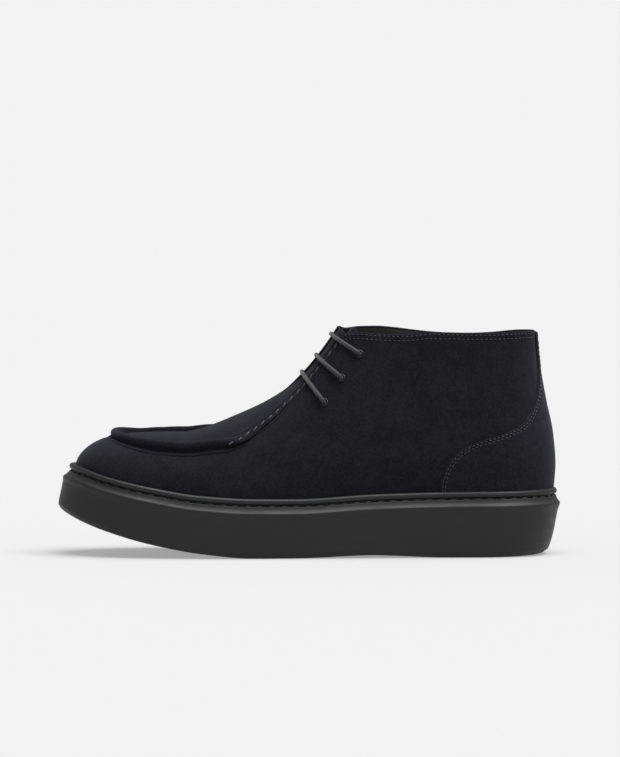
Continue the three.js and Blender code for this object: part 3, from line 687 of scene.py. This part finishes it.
def form_normal(angle, climb):
    """Outward direction of the form, from the cross product of its two small steps."""
    angle, climb = np.broadcast_arrays(angle, climb)
    step = 1e-3
    around = form(angle + step, climb) - form(angle - step, climb)
    upwards = form(angle, climb + step) - form(angle, climb - step)
    normal = np.cross(around, upwards)
    rearwards = around * np.sign(around[..., :1])
    crest = np.stack([-rearwards[..., 2], 0 * rearwards[..., 2], rearwards[..., 0]], -1)
    normal = np.where((climb > 1 - step)[..., None], crest, normal)
    flat = np.linalg.norm(normal, axis=-1, keepdims=True) < 1e-7
    return unit(np.where(flat, np.array([-1.0, 0, 0]), normal))


def off_form(angle, climb, offset):
    """The point a given distance out of the form."""
    return form(angle, climb) + form_normal(angle, climb) * np.asarray(offset)[..., None]


def solved(low, high, rising):
    """Where a rising measure of an unknown passes 0, by halving between arrays of bounds."""
    low, high = np.array(low, float), np.array(high, float)
    for _ in range(36):
        middle = (low + high) / 2
        below = rising(middle) < 0
        low = np.where(below, middle, low)
        high = np.where(below, high, middle)
    return (low + high) / 2


def climb_at_spread(angle, spread):
    """Climb at which the form comes within a given breadth of its middle line."""
    middle = centre(station_at(angle))
    zero = np.zeros(np.broadcast(angle, spread).shape)
    return solved(zero, zero + 1, lambda c: spread - np.abs(form(angle, c)[..., 1] - middle))


def climb_at_height(angle, height):
    zero = np.zeros(np.broadcast(angle, height).shape)
    return solved(zero, zero + 1, lambda c: form(angle, c)[..., 2] - height)


def spot(station, height, outer):
    """Angle and climb of the point seen from the side at a station and a height."""
    station, height = np.broadcast_arrays(np.asarray(station, float), np.asarray(height, float))

    def gap(nominal):
        angle = angle_at(nominal, outer)
        return form(angle, climb_at_height(angle, height))[..., 0] + MIDDLE - station

    angle = angle_at(solved(station - 2, np.minimum(station + 12, HEEL), gap), outer)
    return angle, climb_at_height(angle, height)


def top_climb(angle):
    """Where the upper ends: the top line in front, then the slit's edge, then the collar."""
    station = station_at(angle)
    share = (station - THROAT) / (COLLAR_FRONT - THROAT)
    slit = climb_at_spread(angle, THROAT_GAP / 2 * rounded(share + 0.05))
    outer = np.sin(angle) >= 0
    height = np.where(outer, collar_outer(station), collar_inner(station)) - EDGE_ROUND
    edge = climb_at_height(angle, height)
    return np.where(station <= THROAT + 1e-4, 1, np.minimum(slit, edge))


def angles_round(front, throat, shaft):
    """Angles round the outline with a given number to the throat, the collar and the heel."""
    marks = [0, angle_at(THROAT), angle_at(COLLAR_FRONT), np.pi]
    parts = [np.linspace(a, b, n, endpoint=False)
             for a, b, n in zip(marks, marks[1:], (front, throat, shaft))]
    half = np.concatenate(parts)
    return np.concatenate([half, [np.pi], 2 * np.pi - half[:0:-1]])


def soft_dent(station, z, at, height, length, breadth, slope, depth):
    """One trough (depth < 0) or ridge: a bell across its length and breadth, lying along a slope in
    degrees."""
    cosine, sine = math.cos(math.radians(slope)), math.sin(math.radians(slope))
    along = cosine * (station - at) + sine * (z - height)
    aside = cosine * (z - height) - sine * (station - at)
    return depth * np.exp(-((along / length) ** 2) - (aside / breadth) ** 2)


CREASES = table(
    "station height length breadth slope depth",
    (150, 78, 20, 5, 38, -0.5),
    (163, 70, 18, 5, 30, -0.35),
    (140, 64, 20, 6, 15, 0.35),
    (205, 96, 24, 8, 65, -0.45),
    (222, 108, 20, 7, 75, 0.4),
    (190, 84, 22, 8, 50, 0.4),
    (118, 55, 22, 6, 5, -0.3),
    (76, 54, 18, 6, -8, 0.3),
    (265, 104, 16, 6, 70, -0.4),
)


FLARE = 1.4  # the slit's inner edge stands out this far


def lasted_offset(angle, climb):
    """Small unevenness of the leather over the form: the creases, a slow ripple, and the lift of
    the slit's inner edge."""
    place = form(angle, climb)
    station, z = place[..., 0] + MIDDLE, place[..., 2]
    side = np.where(np.sin(angle) >= 0, 1.0, 0.7)
    total = 0 * z
    for row in zip(*CREASES.values()):
        total = total + soft_dent(station, z, *row)
    ripple = 0.12 * np.sin(station / 9 + z / 13) * np.sin(z / 8 - station / 21)
    fade = eased((z - lip(station) - FEATHER_RISE) / 8) * eased((1 - climb) * 6 + 0.15)
    flare = eased((station - THROAT) / 14) * (1 - eased((0.915 - climb) / 0.05))
    return (total * side + ripple) * fade + FLARE * flare * (np.sin(angle) < 0)


UPPER_AROUND = angles_round(150, 44, 90)
OUTSIDE_ROWS, EDGE_ROWS, INSIDE_ROWS = 84, 9, 34

angles = UPPER_AROUND[:, None]
tops = top_climb(UPPER_AROUND)[:, None]
foot = edge_points(UPPER_AROUND, lambda facing: 0 * facing, lambda s: lip(s) - SEAT_DEPTH + GAP)
foot_inside = edge_points(
    UPPER_AROUND, lambda facing: -WALL + 0 * facing, lambda s: lip(s) - SEAT_DEPTH + GAP)
spread_rows = np.linspace(0, 1, OUTSIDE_ROWS)
climbs = tops * spread_rows
outside = off_form(angles, climbs, lasted_offset(angles, climbs))
outside_feet = mix(foot[:, None], outside[:, :1], np.linspace(0, 1, 5, endpoint=False)[:, None])
top_outer = outside[:, -1:]
top_inner = off_form(angles, tops, -WALL + 0 * tops)
turn = np.linspace(0, np.pi, EDGE_ROWS + 2)[1:-1][:, None]
crown = 0.45 * WALL * eased((1 - tops) * 12)
edge_up = unit(form(angles, tops) - form(angles, tops - 0.02))
edge = mix(top_outer, top_inner, (1 - np.cos(turn)) / 2) + edge_up * np.sin(turn) * crown[..., None]
inside_climbs = tops * np.linspace(1, 0, INSIDE_ROWS)
inside = off_form(angles, inside_climbs, -WALL + 0 * inside_climbs)
inside_feet = mix(inside[:, -1:], foot_inside[:, None], np.linspace(0, 1, 4)[1:, None])
loops = np.concatenate([outside_feet, outside, edge, inside, inside_feet], 1)

corner = np.arange(loops.size // 3).reshape(loops.shape[:2])
corner = np.concatenate([corner, corner[:1]])
corner = np.concatenate([corner, corner[:, :1]], 1)
quads = np.stack([corner[:-1, :-1], corner[1:, :-1], corner[1:, 1:], corner[:-1, 1:]], -1)
first_edge = 5 + OUTSIDE_ROWS - 1
last_edge = first_edge + EDGE_ROWS
closed = station_at(UPPER_AROUND) <= THROAT + 1e-4
closed_pair = closed & np.roll(closed, -1)
keep = np.ones(quads.shape[:2], bool)
keep[closed_pair, first_edge:last_edge + 1] = False
which = np.zeros(quads.shape[:2], int)
which[:, last_edge + 1:] = 1
quads, which = quads[keep], which[keep]

SUEDE_COLOUR = (0.0094, 0.0094, 0.0137)


def suede(name, colour, grain=1.0):
    """Brushed suede: short nap that mottles where it has been stroked, fine grain, no gloss,
    and a soft sheen at glancing angles."""
    material, tree, shader = node_material(name)
    strokes = noise(tree, 38, 5, (1, 1, 1.3))
    patches = noise(tree, 130, 5)
    nap = noise(tree, 700, 4)
    fibre = noise(tree, 2200, 2, (1, 1, 0.5))
    base = blended(tree, strokes, tuple(0.84 * c for c in colour), tuple(1.14 * c for c in colour))
    base = multiplied(tree, base, blended(tree, patches, grey(0.76), grey(1.0), (0.35, 0.62)))
    base = multiplied(tree, base, blended(tree, nap, grey(0.58), grey(1.0), (0.34, 0.62)))
    tree.links.new(base, shader.inputs["Base Color"])
    shader.inputs["Roughness"].default_value = 0.94
    shader.inputs["Specular IOR Level"].default_value = 0.12
    shader.inputs["Sheen Weight"].default_value = 0.07
    shader.inputs["Sheen Roughness"].default_value = 0.45
    shader.inputs["Sheen Tint"].default_value = (0.75, 0.77, 1, 1)
    bumped(
        tree, shader,
        (strokes, 0.12 * grain, 0.0008),
        (nap, 0.35 * grain, 0.0003),
        (fibre, 0.3 * grain, 0.00015),
    )
    return material


upper_suede = suede("upper_suede", SUEDE_COLOUR)
upper = add_piece("upper_suede_and_lining", loops, quads, [upper_suede, lining_leather], which)
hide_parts("upper")

# ---------------------------------------------------------------------------------------------
# Apron seam: the vamp's edge and the apron's edge gathered into a raised lip round the toe and
# sewn by hand with heavy waxed thread. A suede piping carries the seam on up either side of the
# throat, with a soft fold of the vamp beside it.
# ---------------------------------------------------------------------------------------------
SEAM_FRONT = 33.6
SEAM_ROUND = 32
SEAM_END = 173
HAND_PITCH = 6.0
SEAM = table(
    "station spread height width upright inner",
    (33, 30, 4.7, 5.2, 0.8, -1),
    (46, 30.4, 5.2, 5.2, 0.8, -0.2),
    (60, 30.7, 5.9, 5.2, 0.8, 1.8),
    (75, 31.3, 5.6, 5.2, 0.8, 2.9),
    (90, 32, 5.2, 5.2, 0.75, 2.3),
    (103, 33, 4.2, 5.6, 0.55, 1),
    (111, 32.4, 2.6, 7.4, 0.25, 0.3),
    (117, 30.6, 1.9, 6.2, 0.1, 0),
    (123, 27.9, 1.4, 4.6, 0, 0),
    (130, 25, 1.1, 4, 0, 0),
    (138, 21.3, 0.8, 3.8, 0, 0),
    (146, 18.4, 0.5, 3.6, 0, 0),
    (155, 16, 0.5, 3.6, 0, 0),
    (172, 15, 0.4, 3.4, 0, 0),
)
LIP_SECTION = table(
    "across rise",
    (-0.50, -0.55),
    (-0.47, 0.1),
    (-0.42, 0.55),
    (-0.30, 0.86),
    (0.0, 1.0),
    (0.30, 0.90),
    (0.47, 0.66),
    (0.50, 0.42),
    (0.42, 0.22),
    (0.33, 0.10),
    (0.30, -0.1),
    (0.26, -0.55),
)
seam_spread, seam_height, seam_width, seam_upright, seam_inner = (
    curve(SEAM, "station", name) for name in ("spread", "height", "width", "upright", "inner"))


def seam_path(aside=0.0, end=SEAM_END, count=260):
    """The seam's line on the form, from the inner side round the toe to the outer side, moved
    aside over the surface. Near the front its breadth rounds off as a quarter circle."""
    front = SEAM_FRONT - aside
    turn = np.linspace(0, np.pi / 2, count // 3)
    rounding = front + SEAM_ROUND * (1 - np.cos(turn))
    rest = np.linspace(front + SEAM_ROUND, end, count)[1:]
    station = np.concatenate([rounding, rest])
    spread = (seam_spread(station) + aside) * rounded((station - front) / SEAM_ROUND)
    sides = []
    for outer in (False, True):
        angle = angle_at(station, outer)
        climb = climb_at_spread(angle, spread)
        sides.append((station, form(angle, climb), form_normal(angle, climb)))
    inner, outer = sides
    return tuple(np.concatenate([a[::-1], b[1:]]) for a, b in zip(inner, outer))


def seam_frame(station, path, normal):
    """Directions along, across (outwards) and up from a line on the form, the last one leant
    towards the vertical by the seam's own figure."""
    along = unit(np.gradient(path, axis=0))
    upright = seam_upright(station)[:, None]
    up = mix(normal, np.array([0, 0, 1.0]), upright)
    across = unit(np.cross(along, up))
    return along, across, unit(np.cross(across, along))


def capped_tube(rings):
    """Quads and points of a tube through rings, its ends drawn in to their middles."""
    middle = rings.mean(1, keepdims=True)
    ends = [np.repeat(middle[:1], rings.shape[1], 1), np.repeat(middle[-1:], rings.shape[1], 1)]
    rings = np.concatenate([ends[0], rings, ends[1]])
    return rings, grid_quads(len(rings), rings.shape[1], True)


station, path, normal = seam_path()
along, across, up = seam_frame(station, path, normal)
section = refined(LIP_SECTION, 34)
length = arc_lengths(path)
gather = 1 + 0.002 * np.sin(2 * np.pi * length / HAND_PITCH)
inner_half = np.arange(len(station)) <= len(station) // 2
extra = np.where(inner_half, seam_inner(station) * eased((station - SEAM_FRONT) / 12), 0)
height = ((seam_height(station) + extra) * gather)[:, None]
rise = np.where(section["rise"] < 0, section["rise"] * 2.4, section["rise"] * height)
reach = section["across"] * (seam_width(station) * gather)[:, None]
rings = path[:, None] + across[:, None] * reach[..., None] + up[:, None] * rise[..., None]
points, quads = capped_tube(rings)
seam = add_piece("apron_seam_lip", points, quads, [upper_suede], outwards=True)

PIPING_ASIDE = 3.4
PIPING_RADIUS = 0.95
station, path, normal = seam_path(PIPING_ASIDE)
along, across, up = seam_frame(station, path, normal)
across = unit(np.cross(along, normal))
radius = (PIPING_RADIUS * mix(1, 0.45, eased((station - 92) / 25)))[:, None, None]
turn = np.linspace(0, 2 * np.pi, 12, endpoint=False)[:, None]
rings = path[:, None] + radius * (
    across[:, None] * np.cos(turn) * 1.15 + normal[:, None] * (np.sin(turn) - 0.15))
points, quads = capped_tube(rings)
piping = add_piece("apron_piping", points, quads, [upper_suede], outwards=True)

FOLD_ASIDE, FOLD_HALF, FOLD_HEIGHT = -4.2, 1.9, 0.55
FOLD_START, FOLD_TAPER = 96, 22
station, path, normal = seam_path(FOLD_ASIDE, 171.5)
across = unit(np.cross(unit(np.gradient(path, axis=0)), normal))
turn = np.linspace(0, 2 * np.pi, 16, endpoint=False)[:, None]
for side_name, chosen in (("inner", path[:, 1] > 0), ("outer", path[:, 1] < 0)):
    chosen = chosen & (station > FOLD_START)
    size = rounded((station[chosen] - FOLD_START) / FOLD_TAPER)[:, None, None]
    rings = path[chosen][:, None] + size * (
        across[chosen][:, None] * np.cos(turn) * FOLD_HALF
        + normal[chosen][:, None] * np.sin(turn) * FOLD_HEIGHT)
    points, quads = capped_tube(rings)
    fold = add_piece(f"apron_fold_{side_name}", points, quads, [upper_suede], outwards=True)

HAND_LENGTH = 4.2
HAND_THICKNESS = 1.0
hand_thread = waxed_thread("hand_thread", (0.05, 0.05, 0.058))
station, path, normal = seam_path()
along, across, up = seam_frame(station, path, normal)
flat = eased((station - 103) / 12)
over = mix(mix(-0.56, 0.56, eased((station - 88) / 14)), 0.05, flat)
lift = seam_height(station) * mix(0.42, 1.0, flat) + mix(0.35, 0.2, flat)
thread_line = path + across * (over * seam_width(station))[:, None] + up * lift[:, None]
face = unit(up + across * (np.sign(over) * 0.8)[:, None])
places, along, out = paced(thread_line, face, HAND_PITCH)
where = places[:, 0] + MIDDLE
hidden_face = (where < 84) & (places[:, 1] < -12)
shown = np.where(
    places[:, 1] < 0, hidden_face | (where > 99), (where > 72) & (where < 86) | (where > 112))
piece = stitches(
    "apron_hand_stitches", places[shown], along[shown], out[shown], HAND_LENGTH, HAND_THICKNESS,
    hand_thread, turn=0.3)

# ---------------------------------------------------------------------------------------------
# Heel counter: a suede overlay wrapped round the heel and up the back seam to the collar, skived
# at its edge and held by two rows of fine stitching.
# ---------------------------------------------------------------------------------------------
COUNTER_EDGE = table(
    "height station",
    (38, 231),
    (46, 232),
    (54.5, 235),
    (62.6, 241),
    (68.4, 249.5),
    (70.9, 256),
    (72.7, 262),
    (74.4, 267.5),
    (76, 272.1),
    (79.4, 279.6),
    (83.4, 284.1),
    (88.6, 287),
    (94.4, 289.3),
    (100.2, 290.4),
    (106, 290.9),
    (113, 290.9),
    (123.1, 290.05),
    (135.6, 289.2),
)
COUNTER_ROWS, COUNTER_COLUMNS = 150, 150
COUNTER_TOP = 135.7
COUNTER_THICKNESS = 1.3
SKIVE = 1.1
WELT_TOP = 9

counter_station = curve(COUNTER_EDGE, "height", "station")
low = float(lip(HEEL)) + WELT_TOP - 1.2
heights = np.linspace(0, 1, COUNTER_ROWS)
heights = low + (COUNTER_TOP - low) * (0.45 * heights + 0.55 * heights**2)
start = spot(counter_station(heights), heights, True)[0]
end = spot(counter_station(heights), heights, False)[0]
share = np.linspace(0, 1, COUNTER_COLUMNS)
share = 0.5 - 0.5 * np.cos(np.pi * share)
angles = mix(start[:, None], end[:, None], share)
climbs = climb_at_height(angles, heights[:, None] + 0 * angles)
sheet = form(angles, climbs)


def distance_to(points, line):
    """Distance from each point to the nearest of a line's points, worked out in slices."""
    flat = points.reshape(-1, 3)
    nearest = [np.sqrt(((part[:, None] - line[None]) ** 2).sum(-1).min(1))
               for part in np.array_split(flat, 60)]
    return np.concatenate(nearest).reshape(points.shape[:-1])


def closed_plate(outside, inside):
    """Points and quads of a plate between two grids of one shape, closed round its border."""
    shape = outside.shape[:2]
    border = np.concatenate([
        np.arange(shape[1]),
        np.arange(1, shape[0]) * shape[1] + shape[1] - 1,
        (shape[0] - 1) * shape[1] + np.arange(shape[1] - 1)[::-1],
        np.arange(1, shape[0] - 1)[::-1] * shape[1],
    ])
    other = border + outside.size // 3
    rim = np.stack([border, np.roll(border, -1), np.roll(other, -1), other], -1)
    quads = np.concatenate([
        grid_quads(*shape),
        grid_quads(*shape, False, outside.size // 3)[:, ::-1],
        rim,
    ])
    return np.concatenate([outside.reshape(-1, 3), inside.reshape(-1, 3)]), quads


def finer(line, count):
    """A line resampled at even arc length."""
    lengths = arc_lengths(line)
    at = np.linspace(0, lengths[-1], count)
    return np.stack([np.interp(at, lengths, line[:, k]) for k in range(3)], -1)


sides_line = np.concatenate([finer(sheet[:, 0], 400), finer(sheet[:, -1], 400)])
from_edge = distance_to(sheet, sides_line)
rows_sunk = sum(0.22 * np.exp(-(((from_edge - row) / 0.5) ** 2)) for row in (1.5, 3.0))
from_edge = np.minimum(from_edge, 0.5 * (COUNTER_TOP - heights)[:, None])
proud = 0.15 + COUNTER_THICKNESS * rounded(from_edge / SKIVE) - rows_sunk
outside = sheet + form_normal(angles, climbs) * proud[..., None]
inside = sheet + form_normal(angles, climbs) * 0.02
points, quads = closed_plate(outside, inside)
counter_suede = suede("counter_suede", (0.0112, 0.0112, 0.0162))
counter = add_piece("heel_counter_overlay", points, quads, [counter_suede], outwards=True)
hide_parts("heel_counter")

fine_thread = waxed_thread("fine_thread", (0.024, 0.024, 0.032))


def inset_line(edge_angles, edge_heights, outer, inset):
    """The line a set distance inside the counter's edge, from the welt to the collar, and the
    outward direction there. Inwards is the cross product of the edge's direction and that."""
    climb = climb_at_height(edge_angles, edge_heights)
    edge, normal = form(edge_angles, climb), form_normal(edge_angles, climb)
    inwards = unit(np.cross(unit(np.gradient(edge, axis=0)), normal)) * (1 if outer else -1)
    return edge + inwards * inset + normal * (0.15 + COUNTER_THICKNESS - 0.1), normal


for number, inset in enumerate((1.5, 3.0)):
    for side_name, column in (("outer", 0), ("inner", -1)):
        line, normal = inset_line(angles[:, column], heights, column == 0, inset)
        top_limit = heights < 131
        places, along, out = paced(line[top_limit], normal[top_limit], 2.7)
        piece = stitches(
            f"counter_stitching_{side_name}_{number + 1}", places, along, out, 2.1, 0.5,
            fine_thread)

# ---------------------------------------------------------------------------------------------
# Collar: the upper's suede edge is turned in over the lining, and held by two rows of fine waxed
# stitching that run from throat to throat round the heel.
# ---------------------------------------------------------------------------------------------
for number, drop in enumerate((1.5, 4.0)):
    turn = np.linspace(angle_at(178), 2 * np.pi - angle_at(178), 500)
    station = station_at(turn)
    edge_height = np.where(np.sin(turn) >= 0, collar_outer(station), collar_inner(station)) - drop
    climb = climb_at_height(turn, edge_height)
    proud = np.where(station > 298.9, 1.3, 0.1)
    line = off_form(turn, climb, proud)
    places, along, out = paced(line, form_normal(turn, climb), 2.8)
    piece = stitches(f"collar_stitching_{number + 1}", places, along, out, 2.1, 0.5, fine_thread)

# ---------------------------------------------------------------------------------------------
# Tongue: one piece of lined suede under the slit. Its lower end is sewn in beneath the apron's
# upper end, and its top stands free between the facings.
# ---------------------------------------------------------------------------------------------
TONGUE_START, TONGUE_TOP, TONGUE_DROP = 112, 138.6, 12
TONGUE_HALF, TONGUE_DEPTH, TONGUE_THICKNESS = 21, 6.2, 2.2
TONGUE_ROWS, TONGUE_COLUMNS = 90, 61

across = np.linspace(-1, 1, TONGUE_COLUMNS)
spread = np.abs(across) * TONGUE_HALF
tongue_outer = across <= 0


def tongue_angle(station):
    angle = angle_at(station)
    return np.where(tongue_outer, angle, 2 * np.pi - angle)


top_height = TONGUE_TOP - TONGUE_DROP * across**4


def tongue_rise(station):
    angle = tongue_angle(station)
    place = off_form(angle, climb_at_spread(angle, spread), -TONGUE_DEPTH + 0 * station)
    return place[..., 2] - top_height


end = solved(0 * across + TONGUE_START, 0 * across + HEEL - HEEL_ROUND, tongue_rise)
share = np.linspace(0, 1, TONGUE_ROWS)[:, None]
station = mix(TONGUE_START, end[None], share)
angles = tongue_angle(station)
climbs = climb_at_spread(angles, spread[None] + 0 * station)
lip_round = 0.45 * (1 - rounded((1 - share) * 30)) + 0 * station
sheets = [off_form(angles, climbs, -TONGUE_DEPTH - lip_round),
          off_form(angles, climbs, -TONGUE_DEPTH - TONGUE_THICKNESS + lip_round)]
points, quads = closed_plate(*sheets)
# The tongue's suede is the upper's colour made darker: painted shade for the shadowed throat
# between the facings.
tongue_suede = suede("tongue_suede", (0.0086, 0.0086, 0.0126))
tongue = add_piece("tongue_leaf", points, quads, [tongue_suede], outwards=True)
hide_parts("tongue")

# ---------------------------------------------------------------------------------------------
# Eyelets: six small rings of dark plated metal, three in each facing. Each is set through a
# punched hole and rolled over its edges.
# ---------------------------------------------------------------------------------------------
EYELETS = table(
    "station height crossing",
    (161, 94.2, 149.2),
    (171.5, 108.7, 159.2),
    (182.4, 123.1, 170.3),
)
EYELET_SECTION = table(
    "radius level",
    (1.5, -2.3),
    (1.5, -0.6),
    (1.55, 0.3),
    (1.8, 0.68),
    (2.15, 0.78),
    (2.5, 0.6),
    (2.65, 0.3),
    (2.6, 0.05),
    (2.1, 0.0),
    (1.85, -0.4),
    (1.85, -2.3),
)


def gunmetal(name):
    """Dark plated metal with light handling marks."""
    material, tree, shader = node_material(name)
    marks = noise(tree, 500, 4)
    tree.links.new(
        blended(tree, marks, (0.028, 0.029, 0.032), (0.05, 0.051, 0.055)),
        shader.inputs["Base Color"])
    tree.links.new(blended(tree, marks, grey(0.34), grey(0.5)), shader.inputs["Roughness"])
    shader.inputs["Metallic"].default_value = 1
    bumped(tree, shader, (marks, 0.1, 0.0001))
    return material


EYELET_SIDES = 40
eyelet_metal = gunmetal("eyelet_gunmetal")
eyelet_spots = {}
section = refined(EYELET_SECTION, 31)
for side_name, outer in (("outer", True), ("inner", False)):
    for i in range(3):
        angle, climb = spot(EYELETS["station"][i], EYELETS["height"][i], outer)
        point, normal = form(angle, climb), form_normal(angle, climb)
        eyelet_spots[side_name, i] = (point, normal)
        first = unit(np.cross(normal, [0, 0, 1.0]))
        second = np.cross(normal, first)
        turn = np.linspace(0, 2 * np.pi, EYELET_SIDES, endpoint=False)
        ring = first * np.cos(turn)[:, None] + second * np.sin(turn)[:, None]
        rings = (point + ring[None] * section["radius"][:, None, None]
                 + normal * section["level"][:, None, None])
        rings = np.concatenate([rings, rings[:1]])
        piece = add_piece(
            f"eyelet_ring_{side_name}_{i + 1}", rings,
            grid_quads(len(rings), EYELET_SIDES, True), [eyelet_metal], outwards=True)
        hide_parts(f"eyelet_{side_name}_{i + 1}")

# ---------------------------------------------------------------------------------------------
# Lace: one round braided cotton cord. It makes three bars across the throat, runs between the
# eyelets on the inside, and both ends lie inside as well.
# ---------------------------------------------------------------------------------------------
LACE_RADIUS = 1.25
LACE_BEND = 1.6
BAR_OFFSET = 2.4
CREST_OFFSET = 2.0
STRAND_OFFSET = -(WALL + 1 + 1.2)
TAIL_ASIDE = 5


def lace_point(station, height, outer, offset):
    angle, climb = spot(station, height, outer)
    return off_form(angle, climb, np.asarray(offset))


def half_bar(outer, i):
    """Half a bar, from near the eyelet up to the front of the throat."""
    crest = form(angle_at(EYELETS["crossing"][i]), 1.0)
    crest_station = crest[0] + MIDDLE
    points = []
    for step, offset in ((0.4, 2.2), (0.68, 2.0), (0.86, 2.0), (0.96, 2.0)):
        points.append(lace_point(
            mix(EYELETS["station"][i], crest_station, step),
            mix(EYELETS["height"][i], crest[2], step), outer, offset))
    return points


def turn_through(place, outside, inside):
    """The bend through an eyelet: a quarter circle outside it and another inside."""
    point, normal = place

    def flat(target):
        away = target - point
        return unit(away - normal * (away @ normal))

    def corner(direction, level, facing):
        return [point + normal * (level + facing * LACE_BEND * math.cos(a))
                + direction * LACE_BEND * (1 - math.sin(a)) for a in (0, math.pi / 4, math.pi / 2)]

    outer_corner = corner(flat(outside), BAR_OFFSET - LACE_BEND, 1)
    inner_corner = corner(flat(inside), STRAND_OFFSET + LACE_BEND, -1)
    return outer_corner + inner_corner[::-1]


def strand(outer, a, b):
    return [lace_point(
        mix(EYELETS["station"][a], EYELETS["station"][b], t),
        mix(EYELETS["height"][a], EYELETS["height"][b], t), outer, STRAND_OFFSET)
        for t in (0.35, 0.65)]


def lace_route():
    """The lace from its hidden end on the inner side, through every eyelet, to the other end."""
    crests = [off_form(angle_at(EYELETS["crossing"][i]), 1.0, CREST_OFFSET) for i in range(3)]
    bars = [half_bar(False, 0) + [crests[0]] + half_bar(True, 0)[::-1],
            half_bar(True, 1) + [crests[1]] + half_bar(False, 1)[::-1],
            half_bar(False, 2) + [crests[2]] + half_bar(True, 2)[::-1]]
    stations, heights = EYELETS["station"], EYELETS["height"]
    tail_in = [lace_point(stations[i] + TAIL_ASIDE, heights[i], False, STRAND_OFFSET)
               for i in (2, 1)]
    tail_out = [lace_point(stations[2] + along, heights[2] + along / 2, True, STRAND_OFFSET)
                for along in (4, 9)]
    outer_strand, inner_strand = strand(True, 0, 1), strand(False, 1, 2)
    through = eyelet_spots
    route = [*tail_in]
    route += turn_through(through["inner", 0], bars[0][0], tail_in[1])[::-1] + bars[0]
    route += turn_through(through["outer", 0], bars[0][-1], outer_strand[0]) + outer_strand
    route += turn_through(through["outer", 1], bars[1][0], outer_strand[1])[::-1] + bars[1]
    route += turn_through(through["inner", 1], bars[1][-1], inner_strand[0]) + inner_strand
    route += turn_through(through["inner", 2], bars[2][0], inner_strand[1])[::-1] + bars[2]
    route += turn_through(through["outer", 2], bars[2][-1], tail_out[0]) + tail_out
    return np.array(route)


def smooth_line(points, steps):
    """Centripetal-like cubic through points: each span is a Hermite cubic with tangents from
    its neighbours, scaled to the span's own length."""
    spans = np.linalg.norm(np.diff(points, axis=0), axis=1, keepdims=True)
    slopes = np.diff(points, axis=0) / spans
    inner = (slopes[:-1] * spans[1:] + slopes[1:] * spans[:-1]) / (spans[1:] + spans[:-1])
    tangents = np.concatenate([slopes[:1], inner, slopes[-1:]])
    t = np.linspace(0, 1, steps, endpoint=False)[None, :, None]
    a, b = points[:-1, None], points[1:, None]
    ta, tb = tangents[:-1, None] * spans[:, None], tangents[1:, None] * spans[:, None]
    line = (a * (2 * t**3 - 3 * t**2 + 1) + ta * (t**3 - 2 * t**2 + t)
            + b * (3 * t**2 - 2 * t**3) + tb * (t**3 - t**2))
    return np.concatenate([line.reshape(-1, 3), points[-1:]])


def carried_frames(line):
    """Two directions across a line at each point, turned no more than the line turns."""
    tangents = unit(np.gradient(line, axis=0))
    side = unit(np.cross(tangents[0], [0, 0, 1.0]))
    sides = []
    for tangent in tangents:
        side = unit(side - tangent * (side @ tangent))
        sides.append(side)
    sides = np.array(sides)
    return sides, np.cross(tangents, sides)


def braid(name, colour):
    """Round braided cotton: two families of slanted plies over the piece's own length and turn
    (its UV map), worked as crossed waves."""
    material, tree, shader = node_material(name)
    uv = tree.nodes.new("ShaderNodeTexCoord").outputs["UV"]

    def plies(angle):
        turned = tree.nodes.new("ShaderNodeMapping")
        turned.inputs["Rotation"].default_value = (0, 0, angle)
        tree.links.new(uv, turned.inputs["Vector"])
        wave = tree.nodes.new("ShaderNodeTexWave")
        wave.inputs["Scale"].default_value = 0.42
        tree.links.new(turned.outputs["Vector"], wave.inputs["Vector"])
        return wave.outputs["Fac"]

    crossing = tree.nodes.new("ShaderNodeMath")
    crossing.operation = "MAXIMUM"
    tree.links.new(plies(0.7), crossing.inputs[0])
    tree.links.new(plies(-0.7), crossing.inputs[1])
    weave = crossing.outputs["Value"]
    fuzz = noise(tree, 2500, 2)
    dark, light = tuple(0.55 * c for c in colour), tuple(1.15 * c for c in colour)
    base = blended(tree, weave, dark, light, (0.3, 0.9))
    base = multiplied(tree, base, blended(tree, fuzz, grey(0.8), grey(1.0)))
    tree.links.new(base, shader.inputs["Base Color"])
    shader.inputs["Roughness"].default_value = 0.62
    shader.inputs["Sheen Weight"].default_value = 0.25
    bumped(tree, shader, (weave, 0.5, 0.0002), (fuzz, 0.2, 0.0001))
    return material


LACE_SIDES = 20
line = smooth_line(lace_route(), 10)
sides, ups = carried_frames(line)
turn = np.linspace(0, 2 * np.pi, LACE_SIDES, endpoint=False)
rings = (line[:, None] + LACE_RADIUS * (
    sides[:, None] * np.cos(turn)[:, None] + ups[:, None] * np.sin(turn)[:, None]))
points, quads = capped_tube(rings)
lace_braid = braid("lace_braid", (0.0115, 0.0113, 0.0152))
lace = add_piece("lace_cord", points, quads, [lace_braid], merge=False)
along = arc_lengths(line)
along = np.concatenate([along[:1], along, along[-1:]])
row, column = np.divmod(quads, LACE_SIDES)
seam_quads = column.max(1, keepdims=True) - column.min(1, keepdims=True) > 1
column = column + np.array([0, 1, 1, 0]) * seam_quads * (column == 0) * LACE_SIDES
uv = np.stack([along[row], column * (2 * np.pi * LACE_RADIUS / LACE_SIDES)], -1)
layer = lace.data.uv_layers.new(name="braid")
layer.data.foreach_set("uv", uv.reshape(-1).astype(np.float32))
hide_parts("lace")
